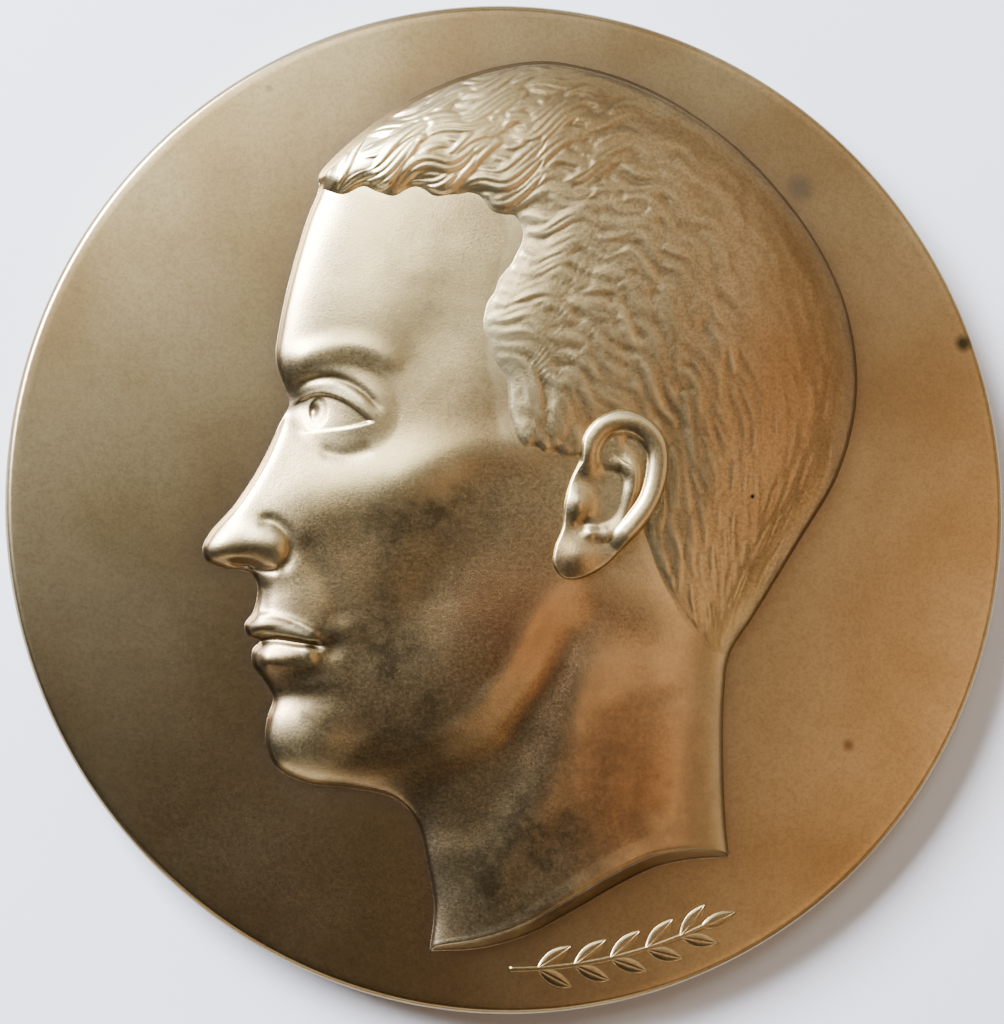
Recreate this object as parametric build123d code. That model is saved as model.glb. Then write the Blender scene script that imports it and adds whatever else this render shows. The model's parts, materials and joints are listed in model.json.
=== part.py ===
from build123d import *
import math
import os
from collections import namedtuple

import numpy as np

# A struck bronze medal. A man's head in profile is raised over a flat field,
# with a small sprig near the edge, and the reverse is flat.
# Millimetres. +Z is up out of the field, +Y is the top of the head,
# and the origin is the middle of the flat reverse.

# The blank
MEDAL_DIAMETER = 70.0
EDGE_HEIGHT = 3.5             # from the reverse to the field
FIELD_CORNER = 0.5            # rounding between the edge and the field
REVERSE_CORNER = 0.3          # rounding between the edge and the reverse

# The head in relief
CROWN_MARGIN = 4.0            # from the medal's outside to the crown
NECK_MARGIN = 4.5             # from the medal's outside to the lowest point of the neck
HEAD_RIGHT = -0.5             # the middle of the head, right of the medal's centre
RELIEF_HEIGHT = 2.2           # from the field to the flat of the cheek
RELIEF_ROUNDING = 13.0        # how far in from the outline the relief goes on rising
WALL_SLOPE = 2.6              # rise of the relief's wall for each millimetre inwards
CUT_SLOPE = 1.5               # the same on the wall along the cut of the neck
WALL_BLEND = 0.25             # softness of the wall's upper corner
JAW_STEP = 0.9                # the neck lies this much lower than the chin
HAIR_THICKNESS = 0.42         # the hair stands this much over the skin
HAIR_SOFTNESS = 0.9           # how far in from the hairline it reaches that thickness
LOCK_RISE = 0.2               # height of the waves in the hair
LOCK_HALF_WIDTH = 1.05
EAR_FRONT_LIFT = 0.1          # the front of the ear stands this much over the skin
EAR_BACK_LIFT = 0.65          # and the back of the ear this much
EAR_RIM_RISE = 0.4            # the rolled rim over the rest of the ear

# The sprig
SPRIG_INSET = 3.1             # from the medal's outside to the stem
SPRIG_RELIEF = 0.16
SPRIG_ROOT = 0.3              # its shapes start this far under the field
SPRIG_START = -90.0           # where the stem starts round the medal, in degrees
SPRIG_END = -67.0             # where its last leaf starts
STEM_OVERHANG = 1.5           # the stem runs on past both, in degrees
STEM_WIDTH = 0.4
LEAF_PAIRS = 5
LEAF_LENGTH = 2.9
LEAF_WIDTH = 1.0
LEAF_SPREAD = 30.0            # angle between a leaf and the stem
FIRST_LEAF = 0.4              # where the first pair grows, as a share of the way between two pairs

# The head is drawn in hundredths of its own height. The eye line is level 0,
# the crown is 50, the chin is -51 and the lowest point of the neck is -73.
CROWN_LEVEL = 50.0
NECK_LEVEL = -73.0
MEDAL_RADIUS = MEDAL_DIAMETER / 2
UNIT = (MEDAL_DIAMETER - CROWN_MARGIN - NECK_MARGIN) / (CROWN_LEVEL - NECK_LEVEL)
HEAD_UP = MEDAL_RADIUS - CROWN_MARGIN - CROWN_LEVEL * UNIT
RISE_UNIT = RELIEF_HEIGHT / 100
NECK_RUN_OUT = 2 * RELIEF_ROUNDING    # so far below its cut the neck is taken to go on, and is not rounded there

# Outline of the head. The back, the crown and the face are one smooth line,
# and the cut of the neck closes it.
FACE_LINE = [
    (-27.2, 32.8), (-27.1, 31.2), (-28.8, 26.6), (-31.2, 18.0), (-32.5, 11.5), (-32.9, 7.4),
    (-31.9, 3.8), (-31.5, 1.2), (-32.7, -2.4), (-35.4, -8.0), (-38.8, -13.2), (-41.6, -16.4), (-42.6, -18.6),
    (-41.9, -20.4), (-39.4, -21.3), (-36.8, -21.6), (-35.5, -22.6), (-35.2, -24.6), (-35.8, -27.2),
    (-36.9, -29.0), (-36.3, -30.4), (-34.8, -31.1), (-35.8, -32.3), (-35.8, -34.2), (-33.9, -36.8),
    (-33.0, -38.8), (-33.8, -41.6), (-34.0, -44.6), (-32.4, -48.2), (-28.4, -50.2), (-22.0, -51.0),
    (-16.5, -52.4), (-13.4, -55.6), (-12.0, -61.0), (-11.0, -67.0), (-11.6, -73.0),
]
NECK_CUT = [
    (-11.6, -73.0), (-5.0, -72.8), (1.5, -71.2), (8.0, -68.0), (13.7, -64.9), (19.3, -62.3), (24.8, -61.2),
    (30.2, -60.9),
]
BACK_LINE = [
    (30.2, -60.9), (29.7, -56.0), (29.4, -47.0), (29.6, -38.6), (30.4, -33.0), (34.0, -27.4), (40.2, -17.6),
    (46.2, -7.8), (48.8, 0.6), (49.2, 8.0), (47.4, 17.4), (43.6, 25.2),
]
CROWN_LINE = [
    (43.6, 25.2), (37.4, 33.4), (29.8, 40.4), (20.6, 46.0), (12.2, 48.9), (4.0, 50.0), (-4.4, 48.4),
    (-12.8, 44.9), (-19.6, 40.4), (-25.4, 35.2), (-27.2, 32.8),
]

# Soft rises and hollows of the skin. Places and half sizes are in hundredths
# of the head, turns in degrees and rises in hundredths of the relief.
Mass = namedtuple("Mass", "name right up long wide turn rise")
MASSES = [
    Mass("forehead", -21.0, 20.0, 10.0, 8.0, 80, 4),
    Mass("brow bone", -28.0, 6.4, 5.0, 2.6, 8, 12),
    Mass("eye socket", -27.4, 0.4, 6.0, 4.8, -35, -24),
    Mass("temple", -13.0, 9.0, 8.0, 5.5, 60, -8),
    Mass("cheekbone", -15.0, -8.5, 8.0, 4.2, 20, 13),
    Mass("cheekbone arch", -3.0, -4.5, 9.0, 3.0, 8, 6),
    Mass("cheek hollow", -12.0, -24.0, 10.0, 5.0, 55, -9),
    Mass("jaw muscle", 0.0, -28.0, 8.0, 5.0, 70, 7),
    Mass("round the mouth", -28.5, -30.5, 7.0, 6.0, 90, 10),
    Mass("under the lip", -30.0, -38.4, 4.5, 1.8, 0, -8),
    Mass("chin", -28.0, -44.0, 4.6, 4.2, 0, 13),
    Mass("eyeball", -23.4, -0.4, 3.6, 2.6, -10, 22),
    Mass("nose tip", -39.6, -18.2, 2.6, 2.4, 0, 8),
    Mass("nose wing", -34.4, -18.6, 3.2, 2.6, -10, 13),
    Mass("corner of the mouth", -25.4, -32.0, 1.5, 1.6, 0, -6),
    Mass("forelock", -19.0, 35.0, 10.0, 4.5, 25, 14),
]

# Ridges, and furrows with a rise below zero, that follow a curve
Line = namedtuple("Line", "name half_width rise points")
LINES = [
    Line("brow", 1.6, 7, [(-31.6, 6.2), (-28.5, 8.2), (-24.0, 9.2), (-19.5, 8.2), (-15.6, 5.6)]),
    Line("upper eyelid", 0.9, 8, [(-28.2, 2.4), (-25.6, 2.9), (-22.4, 1.8), (-19.4, -1.0)]),
    Line("lower eyelid", 0.8, 4, [(-27.2, -3.2), (-24.4, -3.6), (-20.4, -2.2)]),
    Line("nose bridge", 2.0, 8, [(-31.6, 1.6), (-34.0, -5.0), (-37.6, -11.6), (-39.8, -15.4)]),
    Line("behind the nose wing", 0.9, -9, [(-35.8, -15.2), (-33.0, -14.8), (-31.0, -17.6), (-31.8, -21.4)]),
    Line("cheek fold", 2.0, -5, [(-31.0, -16.6), (-27.6, -21.0), (-25.0, -26.0), (-24.2, -30.0)]),
    Line("upper lip", 1.4, 8, [(-36.6, -29.0), (-33.0, -29.1), (-29.6, -30.0), (-26.8, -31.2)]),
    Line("lower lip", 1.7, 10, [(-35.6, -33.2), (-32.6, -33.4), (-29.6, -33.0), (-27.2, -32.4)]),
    Line("between the lips", 0.7, -14, [(-35.8, -31.2), (-33.0, -30.9), (-30.0, -31.3), (-26.2, -31.8)]),
    Line("neck muscle", 4.0, 12, [(13.0, -27.0), (8.0, -38.0), (2.0, -52.0), (-5.6, -64.0), (-8.6, -71.0)]),
    Line("before the neck muscle", 3.6, -6, [(3.0, -41.0), (-3.0, -54.0), (-8.4, -66.0)]),
    Line("nape muscle", 4.5, 4, [(24.0, -36.0), (23.0, -48.0), (21.0, -60.0)]),
]
LINE_FADE = 0.2               # share of a line over which its ends die away

# The jaw, from under the chin up to the lobe of the ear and round the nape,
# and how much of the step each place keeps
JAW_LINE = [
    (-34.0, -50.5), (-28.0, -51.2), (-22.0, -50.2), (-14.0, -47.0), (-6.0, -42.0), (0.0, -35.5),
    (4.0, -28.0), (9.0, -23.5), (16.0, -24.5), (23.0, -29.0), (31.0, -34.0),
]
JawKeep = namedtuple("JawKeep", "right share")
JAW_KEEPS = [JawKeep(-30.0, 1.0), JawKeep(-14.0, 0.85), JawKeep(0.0, 0.6), JawKeep(8.0, 0.4), JawKeep(30.0, 0.3)]
JAW_ABOVE = 1.5               # hundredths of the head above the line where the step starts
JAW_BELOW = 3.5               # and below it where it ends

# Hairline, from the forelock to the temple, round the ear and down to the nape
HAIRLINE = [
    (-27.1, 31.2), (-22.6, 30.4), (-14.2, 30.8), (-7.2, 29.8), (-1.0, 28.2), (1.4, 24.4), (-1.6, 20.0),
    (-4.4, 14.8), (-4.6, 11.0), (-3.6, 7.6), (-1.0, 4.6), (-2.2, 0.0), (-1.8, -4.0), (2.6, -5.0),
    (8.0, -3.0), (14.0, 2.0), (20.5, -1.0), (21.6, -10.0), (20.6, -18.0), (24.2, -26.0), (27.6, -31.0),
    (30.4, -33.0),
]
# The waves of the hair, each from its root back to its tip
LOCKS = [
    [(-24.5, 32.6), (-20.0, 36.6), (-14.0, 37.6), (-7.0, 40.6)],
    [(-20.0, 32.4), (-14.0, 34.2), (-7.0, 33.6), (0.0, 36.8)],
    [(-16.0, 40.8), (-9.0, 43.0), (-1.0, 43.6), (7.0, 46.4)],
    [(-9.0, 37.4), (-2.0, 39.4), (5.0, 38.8), (12.0, 41.6)],
    [(-4.0, 31.6), (3.0, 33.4), (10.0, 32.2), (17.0, 34.0)],
    [(3.0, 28.4), (10.0, 27.6), (17.0, 26.8), (24.0, 22.6)],
    [(8.0, 44.0), (16.0, 42.6), (24.0, 40.4), (31.0, 34.6)],
    [(14.0, 37.4), (22.0, 35.0), (29.0, 30.0), (35.0, 22.0)],
    [(19.0, 30.2), (27.0, 26.0), (33.0, 18.0), (37.0, 8.0)],
    [(-1.0, 21.6), (6.0, 22.6), (13.0, 20.0), (20.0, 16.6)],
    [(-3.4, 15.6), (4.0, 16.4), (11.0, 13.8), (18.0, 8.6)],
    [(-3.6, 10.4), (3.0, 10.6), (10.0, 8.0), (16.0, 3.8)],
    [(-1.6, 3.0), (2.0, 0.4), (4.6, -2.8)],
    [(24.0, 17.6), (28.6, 10.0), (31.0, 0.0), (30.6, -9.0)],
    [(22.4, 8.0), (26.0, 0.0), (27.0, -9.0), (26.4, -17.0)],
    [(37.6, 27.4), (42.0, 19.0), (44.0, 9.0), (43.4, -1.0)],
    [(38.6, 2.0), (38.0, -7.0), (35.0, -15.0), (31.4, -22.0)],
]

# The ear, in shares of its own height across its lean. Its front edge meets
# the cheek and its back edge stands free over the hair.
EAR_HEIGHT_SHARE = 24.6       # hundredths of the head
EAR_RIGHT = 12.6
EAR_UP = -11.2
EAR_LEAN = -10.0
EAR_OUTLINE = [
    (-0.205, 0.16), (-0.215, 0.30), (-0.15, 0.42), (-0.02, 0.50), (0.13, 0.48), (0.25, 0.39), (0.305, 0.22),
    (0.29, 0.03), (0.22, -0.14), (0.12, -0.28), (0.03, -0.40), (-0.07, -0.475), (-0.17, -0.50),
    (-0.25, -0.44), (-0.26, -0.34), (-0.235, -0.22), (-0.25, -0.08), (-0.235, 0.05), (-0.205, 0.16),
]
EAR_RIM = [
    (-0.10, 0.07), (-0.155, 0.15), (-0.165, 0.27), (-0.10, 0.385), (0.02, 0.43), (0.14, 0.40), (0.225, 0.31),
    (0.25, 0.18), (0.235, 0.02), (0.165, -0.13), (0.085, -0.25), (0.02, -0.34),
]
EAR_RIM_HALF_WIDTH = 0.085
EarForm = namedtuple("EarForm", "name right up long wide rise")
EAR_FORMS = [
    EarForm("bowl", -0.02, -0.05, 0.13, 0.17, -24),
    EarForm("inner fold", 0.09, 0.02, 0.07, 0.20, 8),
    EarForm("flap before the bowl", -0.195, -0.08, 0.07, 0.09, 16),
    EarForm("lobe", -0.13, -0.37, 0.12, 0.10, 12),
]

# The mesh of the relief. Its rows run from the face to the back of the head,
# from the crown down, and each band of them starts at a level on either side.
# Its columns start at shares of a row's length.
Rows = namedtuple("Rows", "face back cells")
ROWS = [
    Rows(32.8, 25.2, 1), Rows(32.0, 24.5, 18), Rows(13.0, 14.0, 23), Rows(-18.6, -10.0, 8),
    Rows(-24.6, -15.0, 17), Rows(-48.2, -33.0, 6), Rows(-54.0, -38.0, 11), Rows(-72.2, -60.3, 1),
]
Columns = namedtuple("Columns", "start cells")
COLUMNS = [
    Columns(0.0, 1), Columns(0.010, 21), Columns(0.37, 8), Columns(0.55, 14), Columns(0.78, 8), Columns(0.990, 1),
]
CURVE_STEPS = 6               # points on each stretch of a smooth curve


def at(right, up):
    """A place on the medal, from hundredths of the head."""
    return HEAD_RIGHT + right * UNIT, HEAD_UP + up * UNIT


def curve(points, steps=CURVE_STEPS):
    """Points along a smooth curve through the given points."""
    p = np.array(points, float)
    p = np.vstack([2 * p[0] - p[1], p, 2 * p[-1] - p[-2]])
    run = []
    for before, start, end, after in zip(p[:-3], p[1:-2], p[2:-1], p[3:]):
        a, b, c = (math.sqrt(np.linalg.norm(q - r)) for q, r in ((start, before), (end, start), (after, end)))
        leave = (end - start) - b * ((end - before) / (a + b) - (start - before) / a)
        arrive = (end - start) + b * ((after - end) / c - (after - start) / (b + c))
        for s in np.arange(steps) / steps:
            bend = 3 * (end - start) - 2 * leave - arrive
            twist = 2 * (start - end) + leave + arrive
            run.append(start + s * leave + s * s * bend + s ** 3 * twist)
    run.append(p[-2])
    return np.array(run)


def on_medal(points, steps=CURVE_STEPS):
    """A smooth curve on the medal, through points in hundredths of the head."""
    return curve(points, steps) * UNIT + (HEAD_RIGHT, HEAD_UP)


def near(x, y, line):
    """Distance to a line, the share of its length passed there, and the side, above zero on the left."""
    best = np.full(x.shape, np.inf)
    share = np.zeros(x.shape)
    side = np.zeros(x.shape)
    lengths = np.hypot(*np.diff(line, axis=0).T)
    run = 0.0
    for (x1, y1), (x2, y2), length in zip(line[:-1], line[1:], lengths):
        tx, ty = (x2 - x1) / length, (y2 - y1) / length
        along = np.clip((x - x1) * tx + (y - y1) * ty, 0, length)
        dx, dy = x - x1 - along * tx, y - y1 - along * ty
        distance = np.hypot(dx, dy)
        closer = distance < best
        best = np.where(closer, distance, best)
        share = np.where(closer, (run + along) / lengths.sum(), share)
        side = np.where(closer, tx * dy - ty * dx, side)
        run += length
    return best, share, np.sign(side)


def inside(x, y, loop):
    """Whether each place lies inside a closed loop."""
    hit = np.zeros(x.shape, bool)
    for (x1, y1), (x2, y2) in zip(loop, np.roll(loop, -1, 0)):
        if y1 != y2:
            level = (y >= min(y1, y2)) & (y < max(y1, y2))
            hit ^= level & (x < x1 + (y - y1) * (x2 - x1) / (y2 - y1))
    return hit


def depth_inside(x, y, loop):
    """A smooth kind of distance in from a loop, with no creases along its middle."""
    total = np.zeros(x.shape)
    for (x1, y1), (x2, y2) in zip(loop, np.roll(loop, -1, 0)):
        length = math.hypot(x2 - x1, y2 - y1)
        tx, ty = (x2 - x1) / length, (y2 - y1) / length
        a = (x - x1) * tx + (y - y1) * ty
        b = a - length
        off = np.maximum(((x - x1) * ty - (y - y1) * tx) ** 2, 1e-4)
        total += (a / np.sqrt(a * a + off) - b / np.sqrt(b * b + off)) / off
    return np.sqrt(2.0 / total)


def smoothstep(low, high, value):
    t = np.clip((value - low) / (high - low), 0, 1)
    return t * t * (3 - 2 * t)


def smooth_min(a, b, softness):
    h = np.clip(0.5 + 0.5 * (b - a) / softness, 0, 1)
    return b * (1 - h) + a * h - softness * h * (1 - h)


def dome(x, y, centre, long, wide, turn):
    """A soft round rise of height 1."""
    c, s = math.cos(math.radians(turn)), math.sin(math.radians(turn))
    a = ((x - centre[0]) * c + (y - centre[1]) * s) / long
    b = ((y - centre[1]) * c - (x - centre[0]) * s) / wide
    return np.exp(-(a * a + b * b))


def ridge(x, y, line, half_width):
    """A soft ridge of height 1 along a line, which dies away at both ends."""
    distance, share, _ = near(x, y, line)
    ends = smoothstep(0, LINE_FADE, share) * smoothstep(0, LINE_FADE, 1 - share)
    return np.exp(-(distance / half_width) ** 2) * ends


def neck_share(x, y):
    """How much lower the relief is over the neck, as a share of its height."""
    distance, _, side = near(x, y, on_medal(JAW_LINE))
    below = np.where(side > 0, -distance, distance)
    share = np.interp((x - HEAD_RIGHT) / UNIT, [k.right for k in JAW_KEEPS], [k.share for k in JAW_KEEPS])
    fall = smoothstep(-JAW_ABOVE * UNIT, JAW_BELOW * UNIT, below)
    return JAW_STEP / RELIEF_HEIGHT * share * fall


def skin(x, y, depth):
    """Height of the bare head over the field."""
    round_off = 1 - np.clip(depth / RELIEF_ROUNDING, 0, 1)
    height = RELIEF_HEIGHT * np.sqrt(1 - round_off ** 2)
    for mass in MASSES:
        centre = at(mass.right, mass.up)
        height += mass.rise * RISE_UNIT * dome(x, y, centre, mass.long * UNIT, mass.wide * UNIT, mass.turn)
    for line in LINES:
        height += line.rise * RISE_UNIT * ridge(x, y, on_medal(line.points), line.half_width * UNIT)
    return height * (1 - neck_share(x, y))


def hair(x, y):
    """Height of the hair over the skin."""
    hairline = on_medal(HAIRLINE)
    outline = head_line()
    from_nape = np.argmax(outline[:, 1] > hairline[-1, 1])
    to_forelock = np.argmin(np.hypot(*(outline - hairline[0]).T))
    distance, _, _ = near(x, y, hairline)
    within = inside(x, y, np.vstack([hairline, outline[from_nape:to_forelock]]))
    mass = HAIR_THICKNESS * (1 - np.exp(-distance / HAIR_SOFTNESS))
    waves = np.zeros(x.shape)
    for lock in LOCKS:
        waves = np.maximum(waves, LOCK_RISE * ridge(x, y, on_medal(lock), LOCK_HALF_WIDTH))
    return np.where(within, mass + waves, 0.0)


def ear_place(right, up):
    """A place on the medal, from shares of the ear's height along its lean."""
    c, s = math.cos(math.radians(EAR_LEAN)), math.sin(math.radians(EAR_LEAN))
    return at(EAR_RIGHT + EAR_HEIGHT_SHARE * (right * c - up * s), EAR_UP + EAR_HEIGHT_SHARE * (right * s + up * c))


def ear(x, y):
    """Height of the ear over the skin."""
    size = EAR_HEIGHT_SHARE * UNIT
    outline = np.array([ear_place(*p) for p in curve(EAR_OUTLINE)])
    rim = np.array([ear_place(*p) for p in curve(EAR_RIM)])
    front, back = outline[:, 0].min(), outline[:, 0].max()
    height = EAR_FRONT_LIFT + (EAR_BACK_LIFT - EAR_FRONT_LIFT) * (x - front) / (back - front)
    for form in EAR_FORMS:
        centre = ear_place(form.right, form.up)
        height += form.rise * RISE_UNIT * dome(x, y, centre, form.long * size, form.wide * size, EAR_LEAN)
    distance, _, _ = near(x, y, rim)
    height += EAR_RIM_RISE * np.exp(-(distance / (EAR_RIM_HALF_WIDTH * size)) ** 2)
    edge, _, _ = near(x, y, outline)
    return np.where(inside(x, y, outline[:-1]), smooth_min(height, WALL_SLOPE * edge, WALL_BLEND), 0.0)


def head_line():
    """The outline up the back, over the crown and down the face, without the cut of the neck."""
    return on_medal(BACK_LINE + CROWN_LINE[1:] + FACE_LINE[1:])


def head_sides():
    """The same line, parted into the back, the crown and the face."""
    line = head_line()
    at_back = (len(BACK_LINE) - 1) * CURVE_STEPS
    at_forelock = at_back + (len(CROWN_LINE) - 1) * CURVE_STEPS
    return line[:at_back + 1], line[at_back:at_forelock + 1], line[at_forelock:]


def relief(x, y):
    """Height of the whole head over the field."""
    sides = head_line()
    cut = on_medal(NECK_CUT)
    run_out = cut[[0, -1]] - (0, NECK_RUN_OUT)
    height = skin(x, y, depth_inside(x, y, np.vstack([sides, run_out])))
    height = height + np.maximum(hair(x, y), ear(x, y))
    from_sides, _, _ = near(x, y, sides)
    from_cut, _, _ = near(x, y, cut)
    wall = smooth_min(WALL_SLOPE * from_sides, CUT_SLOPE * from_cut, WALL_BLEND)
    return smooth_min(wall, height, WALL_BLEND)


def spread(starts, cells, end):
    """Numbers from the first start to the end, evenly spaced within each span."""
    stops = list(starts[1:]) + [end]
    spans = [np.linspace(a, b, count, endpoint=False) for a, b, count in zip(starts, stops, cells)]
    return np.concatenate(spans + [[end]])


def lengths_along(line):
    return np.concatenate([[0], np.cumsum(np.hypot(*np.diff(line, axis=0).T))])


def places_along(line, lengths):
    run = lengths_along(line)
    return np.column_stack([np.interp(lengths, run, line[:, axis]) for axis in (0, 1)])


def row_ends(line, levels):
    """The ends of the rows on a line that only falls, with each band's rows evenly spaced along it."""
    run = lengths_along(line)
    starts = np.interp([-(HEAD_UP + level * UNIT) for level in levels], -line[:, 1], run)
    return places_along(line, spread(starts, [band.cells for band in ROWS], run[-1]))


def relief_grid():
    """Rows of places that fill the head's outline, from the crown down to the cut of the neck."""
    back_line, crown_line, face_line = head_sides()
    cut_line = on_medal(NECK_CUT)
    shares = spread([band.start for band in COLUMNS], [band.cells for band in COLUMNS], 1.0)
    face = row_ends(face_line, [band.face for band in ROWS])
    back = row_ends(back_line[::-1], [band.back for band in ROWS])
    crown = places_along(crown_line[::-1], shares * lengths_along(crown_line)[-1])
    cut = places_along(cut_line, shares * lengths_along(cut_line)[-1])
    down = (face[0, 1] - face[:, 1]) / (face[0, 1] - face[-1, 1])
    u, v = shares[None, :, None], down[:, None, None]
    sides = (1 - u) * face[:, None] + u * back[:, None]
    ends = (1 - v) * crown[None] + v * cut[None]
    corners = (1 - v) * ((1 - u) * crown[0] + u * crown[-1]) + v * ((1 - u) * cut[0] + u * cut[-1])
    return sides + ends - corners


def relief_points():
    """The same rows with their heights, where the rim of the mesh lies on the field."""
    grid = relief_grid()
    height = np.zeros(grid.shape[:2])
    middle = grid[1:-1, 1:-1]
    height[1:-1, 1:-1] = relief(middle[..., 0], middle[..., 1])
    return np.dstack([grid, EDGE_HEIGHT + height])


def triangles(points):
    """Corners of the triangles between the rows, split along the flatter way."""
    rows, columns = points.shape[:2]
    for i in range(rows - 1):
        for j in range(columns - 1):
            a, b, c, d = points[i, j], points[i + 1, j], points[i + 1, j + 1], points[i, j + 1]
            middle = (a + b + c + d)[:2] / 4
            at_field = i in (0, rows - 2) and j in (0, columns - 2)
            if at_field:
                from_a = (i == 0) == (j == 0)
            else:
                from_a = np.linalg.norm((a + c)[:2] / 2 - middle) + abs(a[2] - c[2]) \
                    < np.linalg.norm((b + d)[:2] / 2 - middle) + abs(b[2] - d[2])
            if from_a:
                yield a, b, c
                yield a, c, d
            else:
                yield a, b, d
                yield b, c, d


def rim_of(points):
    """The mesh's rim, once round."""
    return np.vstack([points[:-1, 0], points[-1, :-1], points[:0:-1, -1], points[0, :0:-1]])


def make_blank():
    """The plain disc, with its corners rounded."""
    disc = Cylinder(MEDAL_RADIUS, EDGE_HEIGHT, align=(Align.CENTER, Align.CENTER, Align.MIN))
    edges = disc.edges().filter_by(GeomType.CIRCLE).sort_by(Axis.Z)
    disc = fillet(edges[-1], FIELD_CORNER)
    edges = disc.edges().filter_by(GeomType.CIRCLE).sort_by(Axis.Z)
    return fillet(edges[0], REVERSE_CORNER)


def leaf_sketch():
    """A pointed leaf from the origin along +X, between two arcs."""
    tip = (LEAF_LENGTH, 0)
    side = LEAF_WIDTH / 2
    upper = ThreePointArc((0, 0), (LEAF_LENGTH / 2, side), tip)
    lower = ThreePointArc(tip, (LEAF_LENGTH / 2, -side), (0, 0))
    return make_face(Wire([upper, lower]))


def make_sprig():
    """A stem along the edge of the medal, with pairs of leaves and one at its tip."""
    radius = MEDAL_RADIUS - SPRIG_INSET
    height = SPRIG_ROOT + SPRIG_RELIEF
    step = (SPRIG_END - SPRIG_START) / LEAF_PAIRS
    leaf = extrude(leaf_sketch(), height)

    def leaf_at(along, turn):
        return Rot(0, 0, along) * Pos(radius, 0, 0) * Rot(0, 0, 90 + turn) * leaf

    pieces = [leaf_at(SPRIG_END, 0)]
    for pair in range(LEAF_PAIRS):
        along = SPRIG_START + (pair + FIRST_LEAF) * step
        pieces += [leaf_at(along, LEAF_SPREAD), leaf_at(along, -LEAF_SPREAD)]
    start, middle, end = (
        (radius * math.cos(math.radians(a)), radius * math.sin(math.radians(a)))
        for a in (SPRIG_START - STEM_OVERHANG, (SPRIG_START + SPRIG_END) / 2, SPRIG_END + STEM_OVERHANG)
    )
    stem = trace(ThreePointArc(start, middle, end), STEM_WIDTH)
    pieces.append(extrude(stem, height))
    sprig = pieces[0].fuse(*pieces[1:])
    return Pos(0, 0, EDGE_HEIGHT - SPRIG_ROOT) * sprig


def make_medal():
    """The blank with its sprig, and the head's mesh sewn into a hole of the same outline in the field."""
    blank = make_blank() + make_sprig()
    faces = blank.faces()
    field = max((f for f in faces if abs(f.center().Z - EDGE_HEIGHT) < 0.01), key=lambda f: f.area)
    points = relief_points()
    rim = [Vector(*p) for p in rim_of(points)]
    holes = list(field.inner_wires()) + [Wire.make_polygon(rim, close=True)]
    shell_faces = [f for f in faces if not f.is_same(field)]
    shell_faces.append(Face(field.outer_wire(), holes))
    for corners in triangles(points):
        shell_faces.append(Face(Wire.make_polygon([Vector(*p) for p in corners], close=True)))
    return Solid(Shell(shell_faces))


os.makedirs("parts", exist_ok=True)
medal = make_medal()
medal.label = "medal"
export_step(medal, "parts/medal.step")
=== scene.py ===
import json
import math
from collections import namedtuple

import bmesh
import bpy
import numpy as np
from mathutils import Matrix, Vector


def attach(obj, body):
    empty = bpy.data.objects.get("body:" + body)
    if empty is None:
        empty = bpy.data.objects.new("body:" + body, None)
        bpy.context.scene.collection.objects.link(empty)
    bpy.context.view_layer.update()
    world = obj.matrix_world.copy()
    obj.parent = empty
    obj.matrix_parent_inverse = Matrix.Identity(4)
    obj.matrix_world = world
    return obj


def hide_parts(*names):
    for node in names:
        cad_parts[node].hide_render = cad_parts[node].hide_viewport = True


# A struck bronze medal, lying face up. A man's head in profile is raised over
# a flat field, and a small sprig lies near the edge. The relief is worked out
# in millimetres on the medal's own plane, with +X towards the back of the head
# and +Y towards its crown, and every finished mesh is in metres.

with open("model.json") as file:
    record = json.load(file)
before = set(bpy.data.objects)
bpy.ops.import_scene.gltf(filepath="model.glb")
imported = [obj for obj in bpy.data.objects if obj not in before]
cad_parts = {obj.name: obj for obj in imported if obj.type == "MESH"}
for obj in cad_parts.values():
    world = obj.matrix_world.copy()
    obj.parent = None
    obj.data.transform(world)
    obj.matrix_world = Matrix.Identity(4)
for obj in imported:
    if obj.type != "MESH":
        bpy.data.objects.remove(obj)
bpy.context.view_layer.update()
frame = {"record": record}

MM = 0.001
RIM = next(mount for mount in frame["record"]["mounts"] if mount["name"] == "rim")

# The blank, in millimetres
MEDAL_RADIUS = RIM["dims"]["r_mm"]
FIELD_CORNER = 0.5            # rounding between the edge and the field
REVERSE_CORNER = 0.3          # rounding between the edge and the reverse
FIELD_LEVEL = RIM["pos_m"][2] / MM + RIM["dims"]["length_mm"] / 2 + FIELD_CORNER
FIELD_RING = 0.4              # width of the rings of faces in the field
BLANK_STEPS = 360
CORNER_STEPS = 7
WELD = 1e-7                   # metres within which the blank's vertices become one

# The head, as in the solid
CROWN_MARGIN = 4.0            # from the medal's outside to the crown
NECK_MARGIN = 4.5             # from the medal's outside to the lowest point of the neck
HEAD_RIGHT = -0.5             # the middle of the head, right of the medal's centre
RELIEF_HEIGHT = 2.2           # from the field to the flat of the cheek
RELIEF_ROUNDING = 13.0        # how far in from the outline the relief goes on rising
WALL_SLOPE = 2.6              # rise of the relief's wall for each millimetre inwards
CUT_SLOPE = 1.5               # the same on the wall along the cut of the neck
WALL_BLEND = 0.25             # softness of the wall's upper corner
FOOT_WIDTH = 0.3              # how far the relief's mesh runs out over the field
FOOT_BLEND = 0.22             # softness of the corner between the wall and the field
FOOT_REACH = 0.8              # how far the darker patina at the foot of the wall spreads
FIELD_SINK = 0.02             # past its foot the relief's mesh lies this far under the field
JAW_STEP = 0.9                # the neck lies this much lower than the chin
HAIR_THICKNESS = 0.42         # the hair stands this much over the skin
EAR_FRONT_LIFT = 0.1          # the front of the ear stands this much over the skin
EAR_LIFT = 0.65               # and the back of the ear this much

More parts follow.
